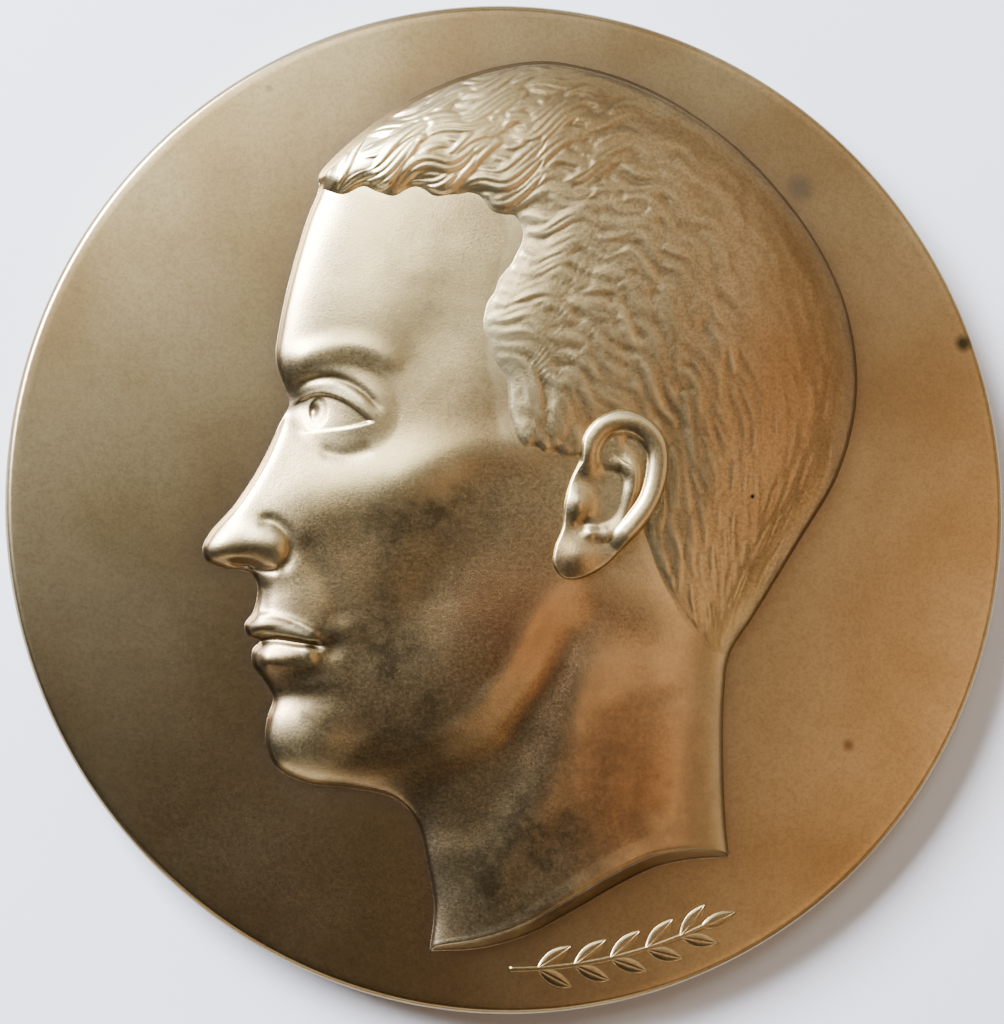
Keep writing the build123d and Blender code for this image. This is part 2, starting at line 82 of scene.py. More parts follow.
# The head is drawn in hundredths of its own height. The eye line is level 0,
# the crown is 50, the chin is -51 and the lowest point of the neck is -73.
CROWN_LEVEL = 50.0
NECK_LEVEL = -73.0
UNIT = (2 * MEDAL_RADIUS - CROWN_MARGIN - NECK_MARGIN) / (CROWN_LEVEL - NECK_LEVEL)
HEAD_UP = MEDAL_RADIUS - CROWN_MARGIN - CROWN_LEVEL * UNIT
RISE_UNIT = RELIEF_HEIGHT / 100
CURVE_STEPS = 6               # points on each stretch of a smooth curve

# Outline of the head. The back, the crown and the face are one smooth line,
# and the cut of the neck closes it.
FACE_LINE = [
    (-27.2, 32.8), (-27.1, 31.2), (-28.8, 26.6), (-31.2, 18.0), (-32.5, 11.5), (-32.9, 7.4),
    (-31.9, 3.8), (-31.5, 1.2), (-32.7, -2.4), (-35.4, -8.0), (-38.8, -13.2), (-41.6, -16.4), (-42.6, -18.6),
    (-41.9, -20.4), (-39.4, -21.3), (-36.8, -21.6), (-35.5, -22.6), (-35.2, -24.6), (-35.8, -27.2),
    (-36.9, -29.0), (-36.3, -30.4), (-34.8, -31.1), (-35.8, -32.3), (-35.8, -34.2), (-33.9, -36.8),
    (-33.0, -38.8), (-33.8, -41.6), (-34.0, -44.6), (-32.4, -48.2), (-28.4, -50.2), (-22.0, -51.0),
    (-16.5, -52.4), (-13.4, -55.6), (-12.0, -61.0), (-11.0, -67.0), (-11.6, -73.0),
]
NECK_CUT = [
    (-11.6, -73.0), (-5.0, -72.8), (1.5, -71.2), (8.0, -68.0), (13.7, -64.9), (19.3, -62.3), (24.8, -61.2),
    (30.2, -60.9),
]
BACK_LINE = [
    (30.2, -60.9), (29.7, -56.0), (29.4, -47.0), (29.6, -38.6), (30.4, -33.0), (34.0, -27.4), (40.2, -17.6),
    (46.2, -7.8), (48.8, 0.6), (49.2, 8.0), (47.4, 17.4), (43.6, 25.2),
]
CROWN_LINE = [
    (43.6, 25.2), (37.4, 33.4), (29.8, 40.4), (20.6, 46.0), (12.2, 48.9), (4.0, 50.0), (-4.4, 48.4),
    (-12.8, 44.9), (-19.6, 40.4), (-25.4, 35.2), (-27.2, 32.8),
]

# Soft rises and hollows of the skin. Places and half sizes are in hundredths
# of the head, turns in degrees and rises in hundredths of the relief.
Mass = namedtuple("Mass", "name right up long wide turn rise")
MASSES = [
    Mass("forehead", -21.0, 20.0, 10.0, 8.0, 80, 4),
    Mass("brow bone", -28.0, 6.4, 5.0, 2.6, 8, 12),
    Mass("eye socket", -26.6, 0.2, 7.4, 5.6, -25, -24),
    Mass("inner corner of the eye", -29.9, 0.8, 2.0, 2.6, 0, -9),
    Mass("temple", -13.0, 9.0, 8.0, 5.5, 60, -8),
    Mass("cheekbone", -15.0, -8.5, 8.0, 4.2, 20, 13),
    Mass("cheekbone arch", -3.0, -4.5, 9.0, 3.0, 8, 6),
    Mass("cheek by the nose", -27.0, -12.0, 4.5, 4.0, 60, 5),
    Mass("cheek hollow", -12.0, -24.0, 10.0, 5.0, 55, -9),
    Mass("jaw muscle", 0.0, -28.0, 8.0, 5.0, 70, 7),
    Mass("round the mouth", -28.5, -30.5, 7.0, 6.0, 90, 10),
    Mass("under the lip", -30.0, -38.4, 4.5, 1.8, 0, -8),
    Mass("chin", -28.0, -44.0, 4.6, 4.2, 0, 13),
    Mass("nose tip", -39.6, -18.2, 2.6, 2.4, 0, 8),
    Mass("nose wing", -34.6, -18.4, 3.0, 2.3, -14, 15),
    Mass("nostril", -37.4, -20.7, 1.7, 0.55, -8, -18),
    Mass("corner of the mouth", -25.4, -32.0, 1.4, 1.5, 0, -7),
    Mass("throat", -8.0, -60.0, 3.0, 3.6, 70, 7),
]

# Ridges, and furrows with a rise below zero, that follow a curve
Line = namedtuple("Line", "name half_width rise points")
LINES = [
    Line("brow", 1.5, 6, [(-31.6, 6.2), (-28.5, 8.2), (-24.0, 9.2), (-19.5, 8.2), (-15.6, 5.6)]),
    Line("fold over the upper lid", 0.6, -6,
         [(-30.6, 3.0), (-28.6, 4.3), (-25.4, 4.6), (-22.0, 3.2), (-18.4, -0.4)]),
    Line("fold under the lower lid", 1.0, -3, [(-27.6, -5.2), (-24.0, -6.0), (-19.6, -4.6)]),
    Line("nose bridge", 2.0, 8, [(-31.6, 1.6), (-34.0, -5.0), (-37.6, -11.6), (-39.8, -15.4)]),
    Line("behind the nose wing", 0.95, -8,
         [(-36.2, -15.4), (-33.6, -14.9), (-31.3, -17.0), (-31.6, -20.4), (-33.4, -22.0)]),
    Line("under the nose wing", 0.55, -7, [(-32.4, -21.6), (-34.6, -21.5), (-36.6, -21.2)]),
    Line("cheek fold", 1.9, -5, [(-31.0, -16.6), (-27.6, -21.0), (-25.0, -26.0), (-24.2, -30.0)]),
    Line("groove over the lip", 0.8, -3, [(-34.4, -23.0), (-34.6, -28.0)]),
    Line("upper lip", 1.3, 8, [(-36.6, -29.0), (-33.0, -29.1), (-29.6, -30.0), (-26.8, -31.2)]),
    Line("edge of the upper lip", 0.4, 3, [(-36.8, -27.8), (-33.0, -27.7), (-29.4, -29.0), (-26.4, -31.0)]),
    Line("lower lip", 1.6, 11, [(-35.6, -33.4), (-32.6, -33.6), (-29.6, -33.2), (-27.2, -32.4)]),
    Line("between the lips", 0.45, -15, [(-36.4, -31.2), (-33.0, -30.9), (-30.0, -31.3), (-25.9, -31.9)]),
    Line("neck muscle", 4.0, 12, [(13.0, -27.0), (8.0, -38.0), (2.0, -52.0), (-5.6, -64.0), (-8.6, -71.0)]),
    Line("before the neck muscle", 3.6, -6, [(3.0, -41.0), (-3.0, -54.0), (-8.4, -66.0)]),
    Line("nape muscle", 4.5, 4, [(24.0, -36.0), (23.0, -48.0), (21.0, -60.0)]),
]
LINE_FADE = 0.2               # share of a line over which its ends die away

# Soft random unevenness, whose rise and size of lumps are in millimetres
Lumps = namedtuple("Lumps", "rise size seed")
SKIN_LUMPS = [Lumps(0.012, 3.1, 1), Lumps(0.006, 1.3, 2)]

# The jaw, from under the chin up to the lobe of the ear and round the nape,
# and how much of the step each place keeps
JAW_LINE = [
    (-34.0, -50.5), (-28.0, -51.2), (-22.0, -50.2), (-14.0, -47.0), (-6.0, -42.0), (0.0, -35.5),
    (4.0, -28.0), (9.0, -23.5), (16.0, -24.5), (23.0, -29.0), (31.0, -34.0),
]
JawKeep = namedtuple("JawKeep", "right share")
JAW_KEEPS = [
    JawKeep(-30.0, 1.0), JawKeep(-14.0, 0.85), JawKeep(0.0, 0.6), JawKeep(8.0, 0.4), JawKeep(30.0, 0.3),
]
JAW_FALL = (-2.4, 5.6)        # where the step falls, in hundredths of the head down from the jaw line

# The eye seen from the side, with the front of its ball on the left. The lids
# lie over a slightly larger ball, and their margins run to the outer corner.
EYEBALL = Mass("eyeball", -24.2, -0.4, 4.9, 4.6, 0, 17)
LIDS = Mass("lids", -23.8, 0.2, 7.6, 6.4, -12, 24)
BALL_FALL = 0.9               # how steeply the eyeball falls off at its edge
LIDS_FALL = 1.7               # and the lids, which blend into the face
IRIS = Mass("iris", -27.3, 0.0, 1.1, 1.9, 0, -3)
IRIS_RIM = (1.1, 0.9)         # shares of the iris's radius between which it goes down
PUPIL = Mass("pupil", -27.9, 0.2, 0.55, 0.8, 0, -9)
UPPER_LID = [
    (-31.4, 0.6), (-29.4, 1.9), (-27.2, 2.5), (-24.6, 1.9), (-22.0, 0.3), (-19.9, -1.5), (-18.0, -3.6),
]
LOWER_LID = [
    (-30.6, -2.8), (-28.6, -2.7), (-26.2, -2.6), (-23.6, -2.3), (-21.4, -1.8), (-19.9, -1.3), (-17.0, 0.0),
]
LID_EDGE = (-0.1, 0.3)        # from the lid to the ball, in hundredths of the head in from its margin

# Hairline, from the forelock to the temple, round the ear and down to the nape
HAIRLINE = [
    (-27.1, 31.2), (-24.8, 29.7), (-21.4, 30.9), (-18.0, 29.6), (-14.2, 31.2), (-10.6, 29.6), (-7.0, 30.4),
    (-3.2, 28.0), (-0.4, 27.6), (0.6, 24.4), (-1.6, 20.0), (-4.4, 14.8), (-4.6, 11.0), (-3.4, 7.6),
    (-1.6, 4.6), (-1.2, 0.0), (-0.4, -2.8), (0.8, -4.4), (2.2, -4.3), (3.6, -5.2), (5.0, -4.9), (6.6, -5.7),
    (9.4, -5.5), (14.0, -3.0), (18.4, -5.0), (17.6, -12.0), (18.4, -18.0), (22.4, -26.0), (27.0, -31.4),
    (30.4, -33.0),
]
# The ways that the hair is combed: how high its locks stand, how wavy they
# are, and a line from the roots to the tips
Comb = namedtuple("Comb", "rise wave points")
COMBS = [
    Comb(1.0, 0.5, [(-25.6, 31.6), (-22.6, 36.4), (-16.0, 39.0), (-8.0, 41.4), (3.0, 45.4)]),
    Comb(1.0, 1.0, [(-19.0, 31.0), (-14.0, 34.6), (-6.0, 36.0), (3.0, 39.4), (12.0, 42.6)]),
    Comb(0.8, 1.0, [(-9.0, 30.2), (-3.0, 32.8), (5.0, 34.0), (14.0, 35.4), (23.0, 34.0)]),
    Comb(0.4, 0.5, [(6.0, 46.4), (14.0, 45.4), (23.0, 42.0), (32.0, 35.6), (39.0, 27.6)]),
    Comb(0.35, 0.5, [(17.0, 39.4), (24.0, 35.6), (30.0, 29.0), (35.0, 21.0), (38.0, 12.0)]),
    Comb(0.65, 0.9, [(1.0, 27.4), (9.0, 28.6), (17.0, 27.0), (23.0, 22.4), (27.0, 15.0)]),
    Comb(0.65, 0.9, [(-1.8, 20.4), (6.0, 21.4), (13.0, 19.4), (19.6, 14.4), (24.0, 6.0)]),
    Comb(0.8, 0.8, [(-4.6, 14.2), (2.0, 14.6), (9.0, 12.0), (16.0, 7.6), (21.0, 0.6)]),
    Comb(0.7, 0.6, [(-4.0, 9.6), (1.0, 8.4), (7.0, 5.0), (12.0, 2.0)]),
    Comb(0.8, 0.3, [(-1.8, 4.0), (-0.4, 0.0), (0.6, -4.6)]),
    Comb(0.8, 0.3, [(2.6, 3.0), (3.0, 0.0), (3.4, -4.6)]),
    Comb(0.3, 0.3, [(27.0, 11.0), (30.0, 2.0), (31.4, -9.0), (30.6, -20.0), (29.8, -30.0)]),
    Comb(0.25, 0.25, [(39.0, 20.0), (43.0, 8.0), (42.4, -4.0), (37.6, -15.0), (32.0, -26.0)]),
    Comb(0.25, 0.2, [(45.0, 20.0), (47.4, 8.0), (45.6, -4.0), (40.0, -14.0), (34.0, -24.0)]),
    Comb(0.3, 0.3, [(21.6, -2.0), (23.4, -10.0), (24.6, -18.0), (27.6, -27.0)]),
]
COMB_STEPS = 2                # places taken on each stretch of a comb line
COMB_REACH = 2.0              # hundredths of the head within which a comb line rules
COMB_FALL = 1.5               # how steeply its weight falls off beyond this
FORELOCK = Mass("forelock", -17.0, 36.0, 12.0, 5.0, 22, 20)
FORELOCK_START = (-0.2, 1.2)  # it comes up between these distances in from the hairline
WAVE_LENGTH = 9.0             # of the hair's waves, in hundredths of the head
WAVE_SLANT = 0.5              # how far the crests of the waves lean
WAVE_SWING = 0.6              # how far a wavy lock turns to each side, in radians
# The kinds of locks, of which the last is laid first. Spacings, lengths and
# half widths are in hundredths of the head, and a kind grows where the comb's
# rise is no less than a value.
Growth = namedtuple("Growth", "along across length half_width strands rise least")
GROWTHS = [
    Growth(5.4, 2.1, 11.0, 1.25, 2, 0.15, 0.4),
    Growth(3.6, 1.9, 5.5, 0.6, 1, 0.07, 0.0),
]
HAIR_BOX = [(-30, -38), (52, 52)]   # corners of the box in which roots are set, in hundredths of the head
HAIR_CENTRE = (8.0, -5.0)     # the locks are laid in the order of their turn round this place
ROOT_DEPTH = 0.4              # how far in from the hairline a root lies at least
ROOT_SPACING = 1.9            # between the locks that start on the hairline itself
ROOT_START = 1.5              # from the start of the hairline to the first of them
# How much the locks differ: the stray of their roots, as a share of the
# spacing and, on the hairline, in hundredths of the head, then the least and
# the most of their length, width and rise, as shares of the kind's own
ROOT_STRAY = 0.45
EDGE_ROOT_STRAY = 0.5
LENGTH_RANGE = (0.75, 1.3)
WIDTH_RANGE = (0.8, 1.25)
RISE_RANGE = (0.75, 1.2)
WAVE_STRAY = 1.1              # shift of a lock's waves, in radians
TILT_STRAY = 0.3              # how far a lock leans over to either side, as a share of its rise
FURROW_STRAY = 0.12           # shift of a lock's furrows, as a share of its half width
SMOOTH_RISE = 0.4             # share of its rise that a lock keeps in the smoothest hair
LOCK_STEPS = 14
LOCK_ROUNDING = 0.8           # below 1 a lock is fuller than a parabola
LOCK_ROOT_WIDTH = 0.45        # width of a lock at its root, as a share of its full width
LOCK_ROOT_END = 0.4           # share of its length where it has its full width
LOCK_TIP_POWER = 4            # how late a lock narrows towards its tip
LOCK_TIP_WIDTH = 0.01         # square of the width that is left at the tip
# A lock wholly covers those under it out to a share of its half width, and
# between two shares of its length
COVER_SIDE = 0.75
COVER_ROOT = 0.15
COVER_TIP = 0.93
STRAND_FURROW = 0.5           # depth of the furrows between a lock's strands, as a share of its rise
STRAND_LINE = 0.17            # half width of these furrows, as a share of the lock's half width
HAIR_SEED = 13
# The hair's edge is a proud roll at the forelock and thins out to the nape.
# An edge has the distance in from the hairline over which the hair reaches its
# thickness, its thickness at the hairline and how steeply its mesh then goes
# down under the skin.
Edge = namedtuple("Edge", "reach lift fall")
EDGE_FRONT = Edge(1.1, 0.03, 0.6)
EDGE_NAPE = Edge(3.0, 0.012, 0.07)
EDGE_TURN = (-50.0, 12.0)     # between these values of right less up the one edge passes to the other
EDGE_LUMPS = Lumps(0.25, 1.1, 5)    # by which the hairline wanders at the front
HAIR_ROOM = 0.35              # the locks reach their full height this far in from the hairline
HAIR_AT_OUTLINE = 0.7         # share of the hair's thickness that is left at the head's outline
HAIR_ROUNDING = 2.2           # how far in from the outline the hair has all of it
HAIR_SINK = 0.3               # past the hairline the hair's mesh lies this far under the skin
# The head's own mesh goes down under the hair between two distances in from
# the hairline, its wall and its skin by so much
UNDER_HAIR = (0.3, 0.9)
UNDER_HAIR_WALL = 1.2
UNDER_HAIR_SKIN = 0.25

# The ear, in shares of its own height across its lean, with rises in
# millimetres. Its front edge meets the cheek and its back edge stands free
# over the hair.
EAR_HEIGHT_SHARE = 24.6       # hundredths of the head
EAR_RIGHT = 12.6
EAR_UP = -11.2
EAR_LEAN = -10.0
EAR_WALL = 2.6                # rise of the ear's edge for each millimetre inwards
EAR_BOTTOM = 0.05             # its hollows come no nearer to the skin than this
EAR_BLEND = 0.12              # softness between its forms
EAR_RIM_BLEND = 0.06          # the same at the foot of its rim
EAR_RIM_SINK = 0.2            # the rim's foot lies this much lower than the ear's lift
EAR_FLAP_SINK = 0.12          # and the flap's foot this much
EAR_MARGIN = 0.3              # how far the ear's mesh runs out past its outline
EAR_PITCH = 0.05              # width of the mesh's cells
EAR_SINK = 0.6                # past the outline the mesh goes this far under the skin
EAR_OUTLINE = [
    (-0.205, 0.16), (-0.215, 0.30), (-0.15, 0.42), (-0.02, 0.50), (0.13, 0.48), (0.25, 0.39), (0.305, 0.22),
    (0.29, 0.03), (0.22, -0.14), (0.12, -0.28), (0.03, -0.40), (-0.07, -0.475), (-0.17, -0.50),
    (-0.25, -0.44), (-0.26, -0.34), (-0.235, -0.22), (-0.25, -0.08), (-0.235, 0.05), (-0.205, 0.16),
]
# Forms of the ear along a curve, which fade over a share of its length
Roll = namedtuple("Roll", "half_width rise fade_in fade_out points")
EAR_RIM = Roll(0.075, 0.5, 0.18, 0.12, [
    (-0.03, 0.03), (-0.10, 0.07), (-0.155, 0.15), (-0.165, 0.27), (-0.10, 0.385), (0.02, 0.43), (0.14, 0.40),
    (0.225, 0.31), (0.25, 0.18), (0.235, 0.02), (0.165, -0.13), (0.085, -0.25), (0.02, -0.34),
])
EAR_FOLD = Roll(0.062, 0.26, 0.25, 0.15, [
    (0.045, 0.27), (0.10, 0.16), (0.115, 0.03), (0.08, -0.10), (0.01, -0.19), (-0.07, -0.225),
])
EAR_LOWER_FOLD = Roll(0.045, 0.10, 0.5, 0.5, [(0.09, 0.14), (0.02, 0.165), (-0.06, 0.20)])
EAR_GROOVE = Roll(0.045, -0.3, 0.15, 0.25, [
    (-0.02, 0.31), (0.07, 0.32), (0.145, 0.24), (0.18, 0.10), (0.155, -0.05), (0.085, -0.18),
])
EAR_INNER = [
    Mass("bowl", -0.02, -0.06, 0.125, 0.16, -15, -0.55),
    Mass("top of the bowl", 0.0, 0.10, 0.07, 0.05, 0, -0.25),
    Mass("knob over the lobe", -0.075, -0.215, 0.055, 0.045, 0, 0.26),
]
EAR_FLAP = Mass("flap before the opening", -0.18, -0.075, 0.075, 0.10, 15, 0.42)
EAR_LOWER = [
    Mass("lobe", -0.13, -0.37, 0.12, 0.10, 10, 0.26),
    Mass("notch under the flap", -0.125, -0.18, 0.035, 0.045, 0, -0.16),
]

# Places of the head where the patina is rubbed bright, darkly clouded and
# coppery, with strengths from 0 to 1 for their rises. Their colours also paint
# light: highlights, shade and warm reflected light.
# Rubbed bright: partly wear on the high points, partly a painted highlight where the window's light falls on
# the forehead, forelock, nose and cheek
RUBBED_AND_HIGHLIGHT = [
    Mass("forehead", -18.0, 18.0, 16.0, 14.0, 0, 1.0),
    Mass("upper cheek", -20.0, -7.0, 10.0, 6.0, 0, 0.9),
    Mass("nose", -37.0, -13.0, 5.0, 9.0, 20, 0.7),
    Mass("chin", -30.0, -46.0, 4.0, 4.0, 0, 0.6),
    Mass("forelock", -14.0, 38.0, 17.0, 7.0, 22, 0.9),
    Mass("ear", 12.6, -11.0, 8.0, 13.0, 0, 0.25),
]
# Darkly clouded: partly tarnish, partly painted shade, such as over the eye socket and the middle of the
# forehead
TARNISH_AND_SHADE = [
    Mass("cheek", -12.0, -14.5, 12.0, 5.0, 8, 1.0),
    Mass("beside the mouth", -17.5, -31.0, 6.5, 12.0, 0, 1.0),
    Mass("over the jaw", -13.0, -42.0, 9.0, 4.5, 20, 0.6),
    Mass("chin", -28.5, -40.5, 5.0, 5.0, 0, 0.9),
    Mass("round the mouth", -28.0, -29.5, 5.0, 4.5, 0, 0.8),
    Mass("nose wing", -34.0, -18.5, 5.0, 3.0, 0, 0.5),
    Mass("front of the neck", -1.0, -61.0, 10.0, 13.0, 0, 1.0),
    Mass("side of the neck", 14.0, -50.0, 17.0, 20.0, 0, 0.45),
    Mass("eye socket", -25.0, 2.0, 7.0, 4.5, 0, 0.7),
    Mass("temple", -14.0, 8.0, 7.0, 6.0, 30, 0.35),
    Mass("middle of the forehead", -13.0, 19.0, 10.0, 9.0, 0, 0.35),
]
# Coppery: partly a copper-red patina, partly a painted warm reflection on the side of the neck and the back
# of the head, which face the warm light
COPPER_AND_WARM_LIGHT = [
    Mass("before the ear", -0.5, -28.0, 10.0, 9.0, 0, 1.0),
    Mass("side of the neck", 15.0, -48.0, 14.0, 19.0, 0, 1.0),
    Mass("back of the head", 38.0, 2.0, 12.0, 22.0, 15, 0.5),
]

# The sprig
SPRIG_INSET = 3.1             # from the medal's outside to the stem
SPRIG_RADIUS = MEDAL_RADIUS - SPRIG_INSET
SPRIG_RELIEF = 0.09
SPRIG_START = -90.0           # where the stem starts round the medal, in degrees
SPRIG_END = -67.0
SPRIG_SINK = 0.01             # the rims of the stem and the leaves lie this far under the field
STEM_WIDTH = 0.4
STEM_SHARE = 0.9              # height of the stem, as a share of the relief
STEM_CELLS = (60, 6)
LEAF_PAIRS = 5
LEAF_STEP = (SPRIG_END - SPRIG_START) / LEAF_PAIRS
FIRST_LEAVES = 0.4            # steps from the start to the first pair of leaves
STEM_SPARE = 1 / 3            # steps by which the stem runs on past its ends
LEAF_LENGTH = 2.9
LEAF_WIDTH = 1.0
LEAF_SPREAD = 30.0            # angle between a leaf and the stem
LEAF_FULLNESS = 0.85          # below 1 a leaf is fuller than a sine, and above 1 it is slimmer
LEAF_BLUNT = 0.005            # a leaf's ends are as wide as it is this share of its length further in
LEAF_CELLS = (24, 16)
VEIN_DEPTH = 0.45             # depth of the groove along a leaf, as a share of the leaf's height
VEIN_WIDTH = 0.16             # half width of this groove, as a share of the leaf's half width

# The closed meshes of the relief go down into the blank this far
RELIEF_ROOT = 0.8
RELIEF_BASE = FIELD_LEVEL - RELIEF_ROOT

CLOUD_CELLS = 97              # lumps of random unevenness before they repeat
LEAST_GAP = 1e-4              # guards against a division by zero on an outline
KEPT_OFFSET = 0.97            # share of its distance that a point of an offset line has to keep


def at(right, up):
    """A place on the medal, from hundredths of the head."""
    return HEAD_RIGHT + right * UNIT, HEAD_UP + up * UNIT


def curve(points, steps=CURVE_STEPS):
    """Points along a smooth curve through the given points."""
    p = np.array(points, float)
    p = np.vstack([2 * p[0] - p[1], p, 2 * p[-1] - p[-2]])
    run = []
    for before, start, end, after in zip(p[:-3], p[1:-2], p[2:-1], p[3:]):
        a, b, c = (math.sqrt(np.linalg.norm(q - r)) for q, r in ((start, before), (end, start), (after, end)))
        leave = (end - start) - b * ((end - before) / (a + b) - (start - before) / a)
        arrive = (end - start) + b * ((after - end) / c - (after - start) / (b + c))
        for s in np.arange(steps) / steps:
            bend = 3 * (end - start) - 2 * leave - arrive
            twist = 2 * (start - end) + leave + arrive
            run.append(start + s * leave + s * s * bend + s ** 3 * twist)
    run.append(p[-2])
    return np.array(run)


def on_medal(points, steps=CURVE_STEPS):
    """A smooth curve on the medal, through points in hundredths of the head."""
    return curve(points, steps) * UNIT + (HEAD_RIGHT, HEAD_UP)


def near(x, y, line):
    """Distance to a line, the share of its length passed there, and the side, above zero on the left."""
    best = np.full(x.shape, np.inf)
    share = np.zeros(x.shape)
    side = np.zeros(x.shape)
    lengths = np.hypot(*np.diff(line, axis=0).T)
    run = 0.0
    for (x1, y1), (x2, y2), length in zip(line[:-1], line[1:], lengths):
        tx, ty = (x2 - x1) / length, (y2 - y1) / length
        along = np.clip((x - x1) * tx + (y - y1) * ty, 0, length)
        dx, dy = x - x1 - along * tx, y - y1 - along * ty
        distance = np.hypot(dx, dy)
        closer = distance < best
        best = np.where(closer, distance, best)
        share = np.where(closer, (run + along) / lengths.sum(), share)
        side = np.where(closer, tx * dy - ty * dx, side)
        run += length
    return best, share, np.sign(side)


def inside(x, y, loop):
    """Whether each place lies inside a closed loop."""
    hit = np.zeros(x.shape, bool)
    for (x1, y1), (x2, y2) in zip(loop, np.roll(loop, -1, 0)):
        if y1 != y2:
            level = (y >= min(y1, y2)) & (y < max(y1, y2))
            hit ^= level & (x < x1 + (y - y1) * (x2 - x1) / (y2 - y1))
    return hit


def depth_inside(x, y, loop):
    """A smooth kind of distance in from a loop, with no creases along its middle."""
    total = np.zeros(x.shape)
    for (x1, y1), (x2, y2) in zip(loop, np.roll(loop, -1, 0)):
        length = math.hypot(x2 - x1, y2 - y1)
        tx, ty = (x2 - x1) / length, (y2 - y1) / length
        a = (x - x1) * tx + (y - y1) * ty
        b = a - length
        off = np.maximum(((x - x1) * ty - (y - y1) * tx) ** 2, LEAST_GAP)
        total += (a / np.sqrt(a * a + off) - b / np.sqrt(b * b + off)) / off
    return np.sqrt(2.0 / total)


def smoothstep(low, high, value):
    """A soft rise from 0 to 1 while the value goes from low to high."""
    t = np.clip((value - low) / (high - low), 0, 1)
    return t * t * (3 - 2 * t)


def smooth_min(a, b, softness):
    h = np.clip(0.5 + 0.5 * (b - a) / softness, 0, 1)
    return b * (1 - h) + a * h - softness * h * (1 - h)


def smooth_max(a, b, softness):
    return -smooth_min(-a, -b, softness)


def oval(x, y, centre, long, wide, turn):
    """Distance from a centre, as a share of an oval's radius."""
    c, s = math.cos(math.radians(turn)), math.sin(math.radians(turn))
    a = ((x - centre[0]) * c + (y - centre[1]) * s) / long
    b = ((y - centre[1]) * c - (x - centre[0]) * s) / wide
    return np.hypot(a, b)


def mass_oval(x, y, mass):
    return oval(x, y, at(mass.right, mass.up), mass.long * UNIT, mass.wide * UNIT, mass.turn)


def swell(x, y, mass):
    """A soft round rise, as high as the mass in its middle."""
    return mass.rise * np.exp(-mass_oval(x, y, mass) ** 2)


def ridge(x, y, line, half_width):
    """A soft ridge of height 1 along a line, which dies away at both ends."""
    distance, share, _ = near(x, y, line)
    ends = smoothstep(0, LINE_FADE, share) * smoothstep(0, LINE_FADE, 1 - share)
    return np.exp(-(distance / half_width) ** 2) * ends


def neck_share(x, y):
    """How much lower the relief is over the neck, as a share of its height."""
    distance, _, side = near(x, y, on_medal(JAW_LINE))
    below = np.where(side > 0, -distance, distance) / UNIT
    share = np.interp((x - HEAD_RIGHT) / UNIT, *zip(*JAW_KEEPS))
    return JAW_STEP / RELIEF_HEIGHT * share * smoothstep(*JAW_FALL, below)


def eye(x, y):
    """Height of the eyeball and its lids over the socket."""
    ball = EYEBALL.rise * np.clip(1 - mass_oval(x, y, EYEBALL) ** 2, 0, 1) ** BALL_FALL
    lids = LIDS.rise * np.clip(1 - mass_oval(x, y, LIDS) ** 2, 0, 1) ** LIDS_FALL
    over, _, side = near(x, y, on_medal(UPPER_LID))
    under, _, other_side = near(x, y, on_medal(LOWER_LID))
    opening = np.minimum(-over * side, under * other_side) / UNIT
    ball += IRIS.rise * smoothstep(*IRIS_RIM, mass_oval(x, y, IRIS)) + swell(x, y, PUPIL)
    return (lids + (ball - lids) * smoothstep(*LID_EDGE, opening)) * RISE_UNIT


def skin(x, y):
    """Height of the bare head over the field, without its wall."""
    cut = on_medal(NECK_CUT)
    run_out = cut[[0, -1]] - (0, RELIEF_ROUNDING * 2)
    depth = depth_inside(x, y, np.vstack([head_line(), run_out]))
    round_off = 1 - np.clip(depth / RELIEF_ROUNDING, 0, 1)
    height = RELIEF_HEIGHT * np.sqrt(1 - round_off ** 2)
    for mass in MASSES:
        height += RISE_UNIT * swell(x, y, mass)
    for line in LINES:
        height += line.rise * RISE_UNIT * ridge(x, y, on_medal(line.points), line.half_width * UNIT)
    return (height + eye(x, y)) * (1 - neck_share(x, y))


def head_line():
    """The outline up the back, over the crown and down the face, without the cut of the neck."""
    return on_medal(BACK_LINE + CROWN_LINE[1:] + FACE_LINE[1:])


def wall(x, y):
    """Height of the relief's wall, from the field up, and below zero outside the outline."""
    sides = head_line()
    cut = on_medal(NECK_CUT)
    within = inside(x, y, np.vstack([sides, cut[1:-1]]))
    from_sides, _, _ = near(x, y, sides)
    from_cut, _, _ = near(x, y, cut)
    up = smooth_min(WALL_SLOPE * from_sides, CUT_SLOPE * from_cut, WALL_BLEND)
    down = -np.minimum(WALL_SLOPE * from_sides, CUT_SLOPE * from_cut)
    return np.where(within, up, down)


def on_field(height):
    """The same height with a soft foot, and just under the field further out."""
    return smooth_max(height, -FIELD_SINK, FOOT_BLEND)


def hair_depth(x, y):
    """Distance in from the hairline, below zero over the skin."""
    hairline = on_medal(HAIRLINE)
    outline = head_line()
    from_nape = np.argmax(outline[:, 1] > hairline[-1, 1])
    to_forelock = np.argmin(np.hypot(*(outline - hairline[0]).T))
    distance, _, _ = near(x, y, hairline)
    out, _ = offset(outline[from_nape:to_forelock], -3 * FOOT_WIDTH)
    return np.where(inside(x, y, np.vstack([hairline, out])), distance, -distance)


def offset(line, by):
    """A line moved to its left by a distance, with no loops at its corners, and which points are kept."""
    step = np.gradient(line, axis=0)
    step /= np.hypot(*step.T)[:, None]
    moved = line + by * np.column_stack([-step[:, 1], step[:, 0]])
    distance, _, _ = near(moved[:, 0], moved[:, 1], line)
    kept = distance > KEPT_OFFSET * abs(by)
    return moved[kept], kept


def comb_samples():
    """Places along the comb lines, each with its direction, rise and wave."""
    rows = []
    for comb in COMBS:
        line = curve(comb.points, COMB_STEPS)
        step = np.gradient(line, axis=0)
        step /= np.hypot(*step.T)[:, None]
        rows.append(np.column_stack([line, step, np.tile((comb.rise, comb.wave), (len(line), 1))]))
    return np.vstack(rows)


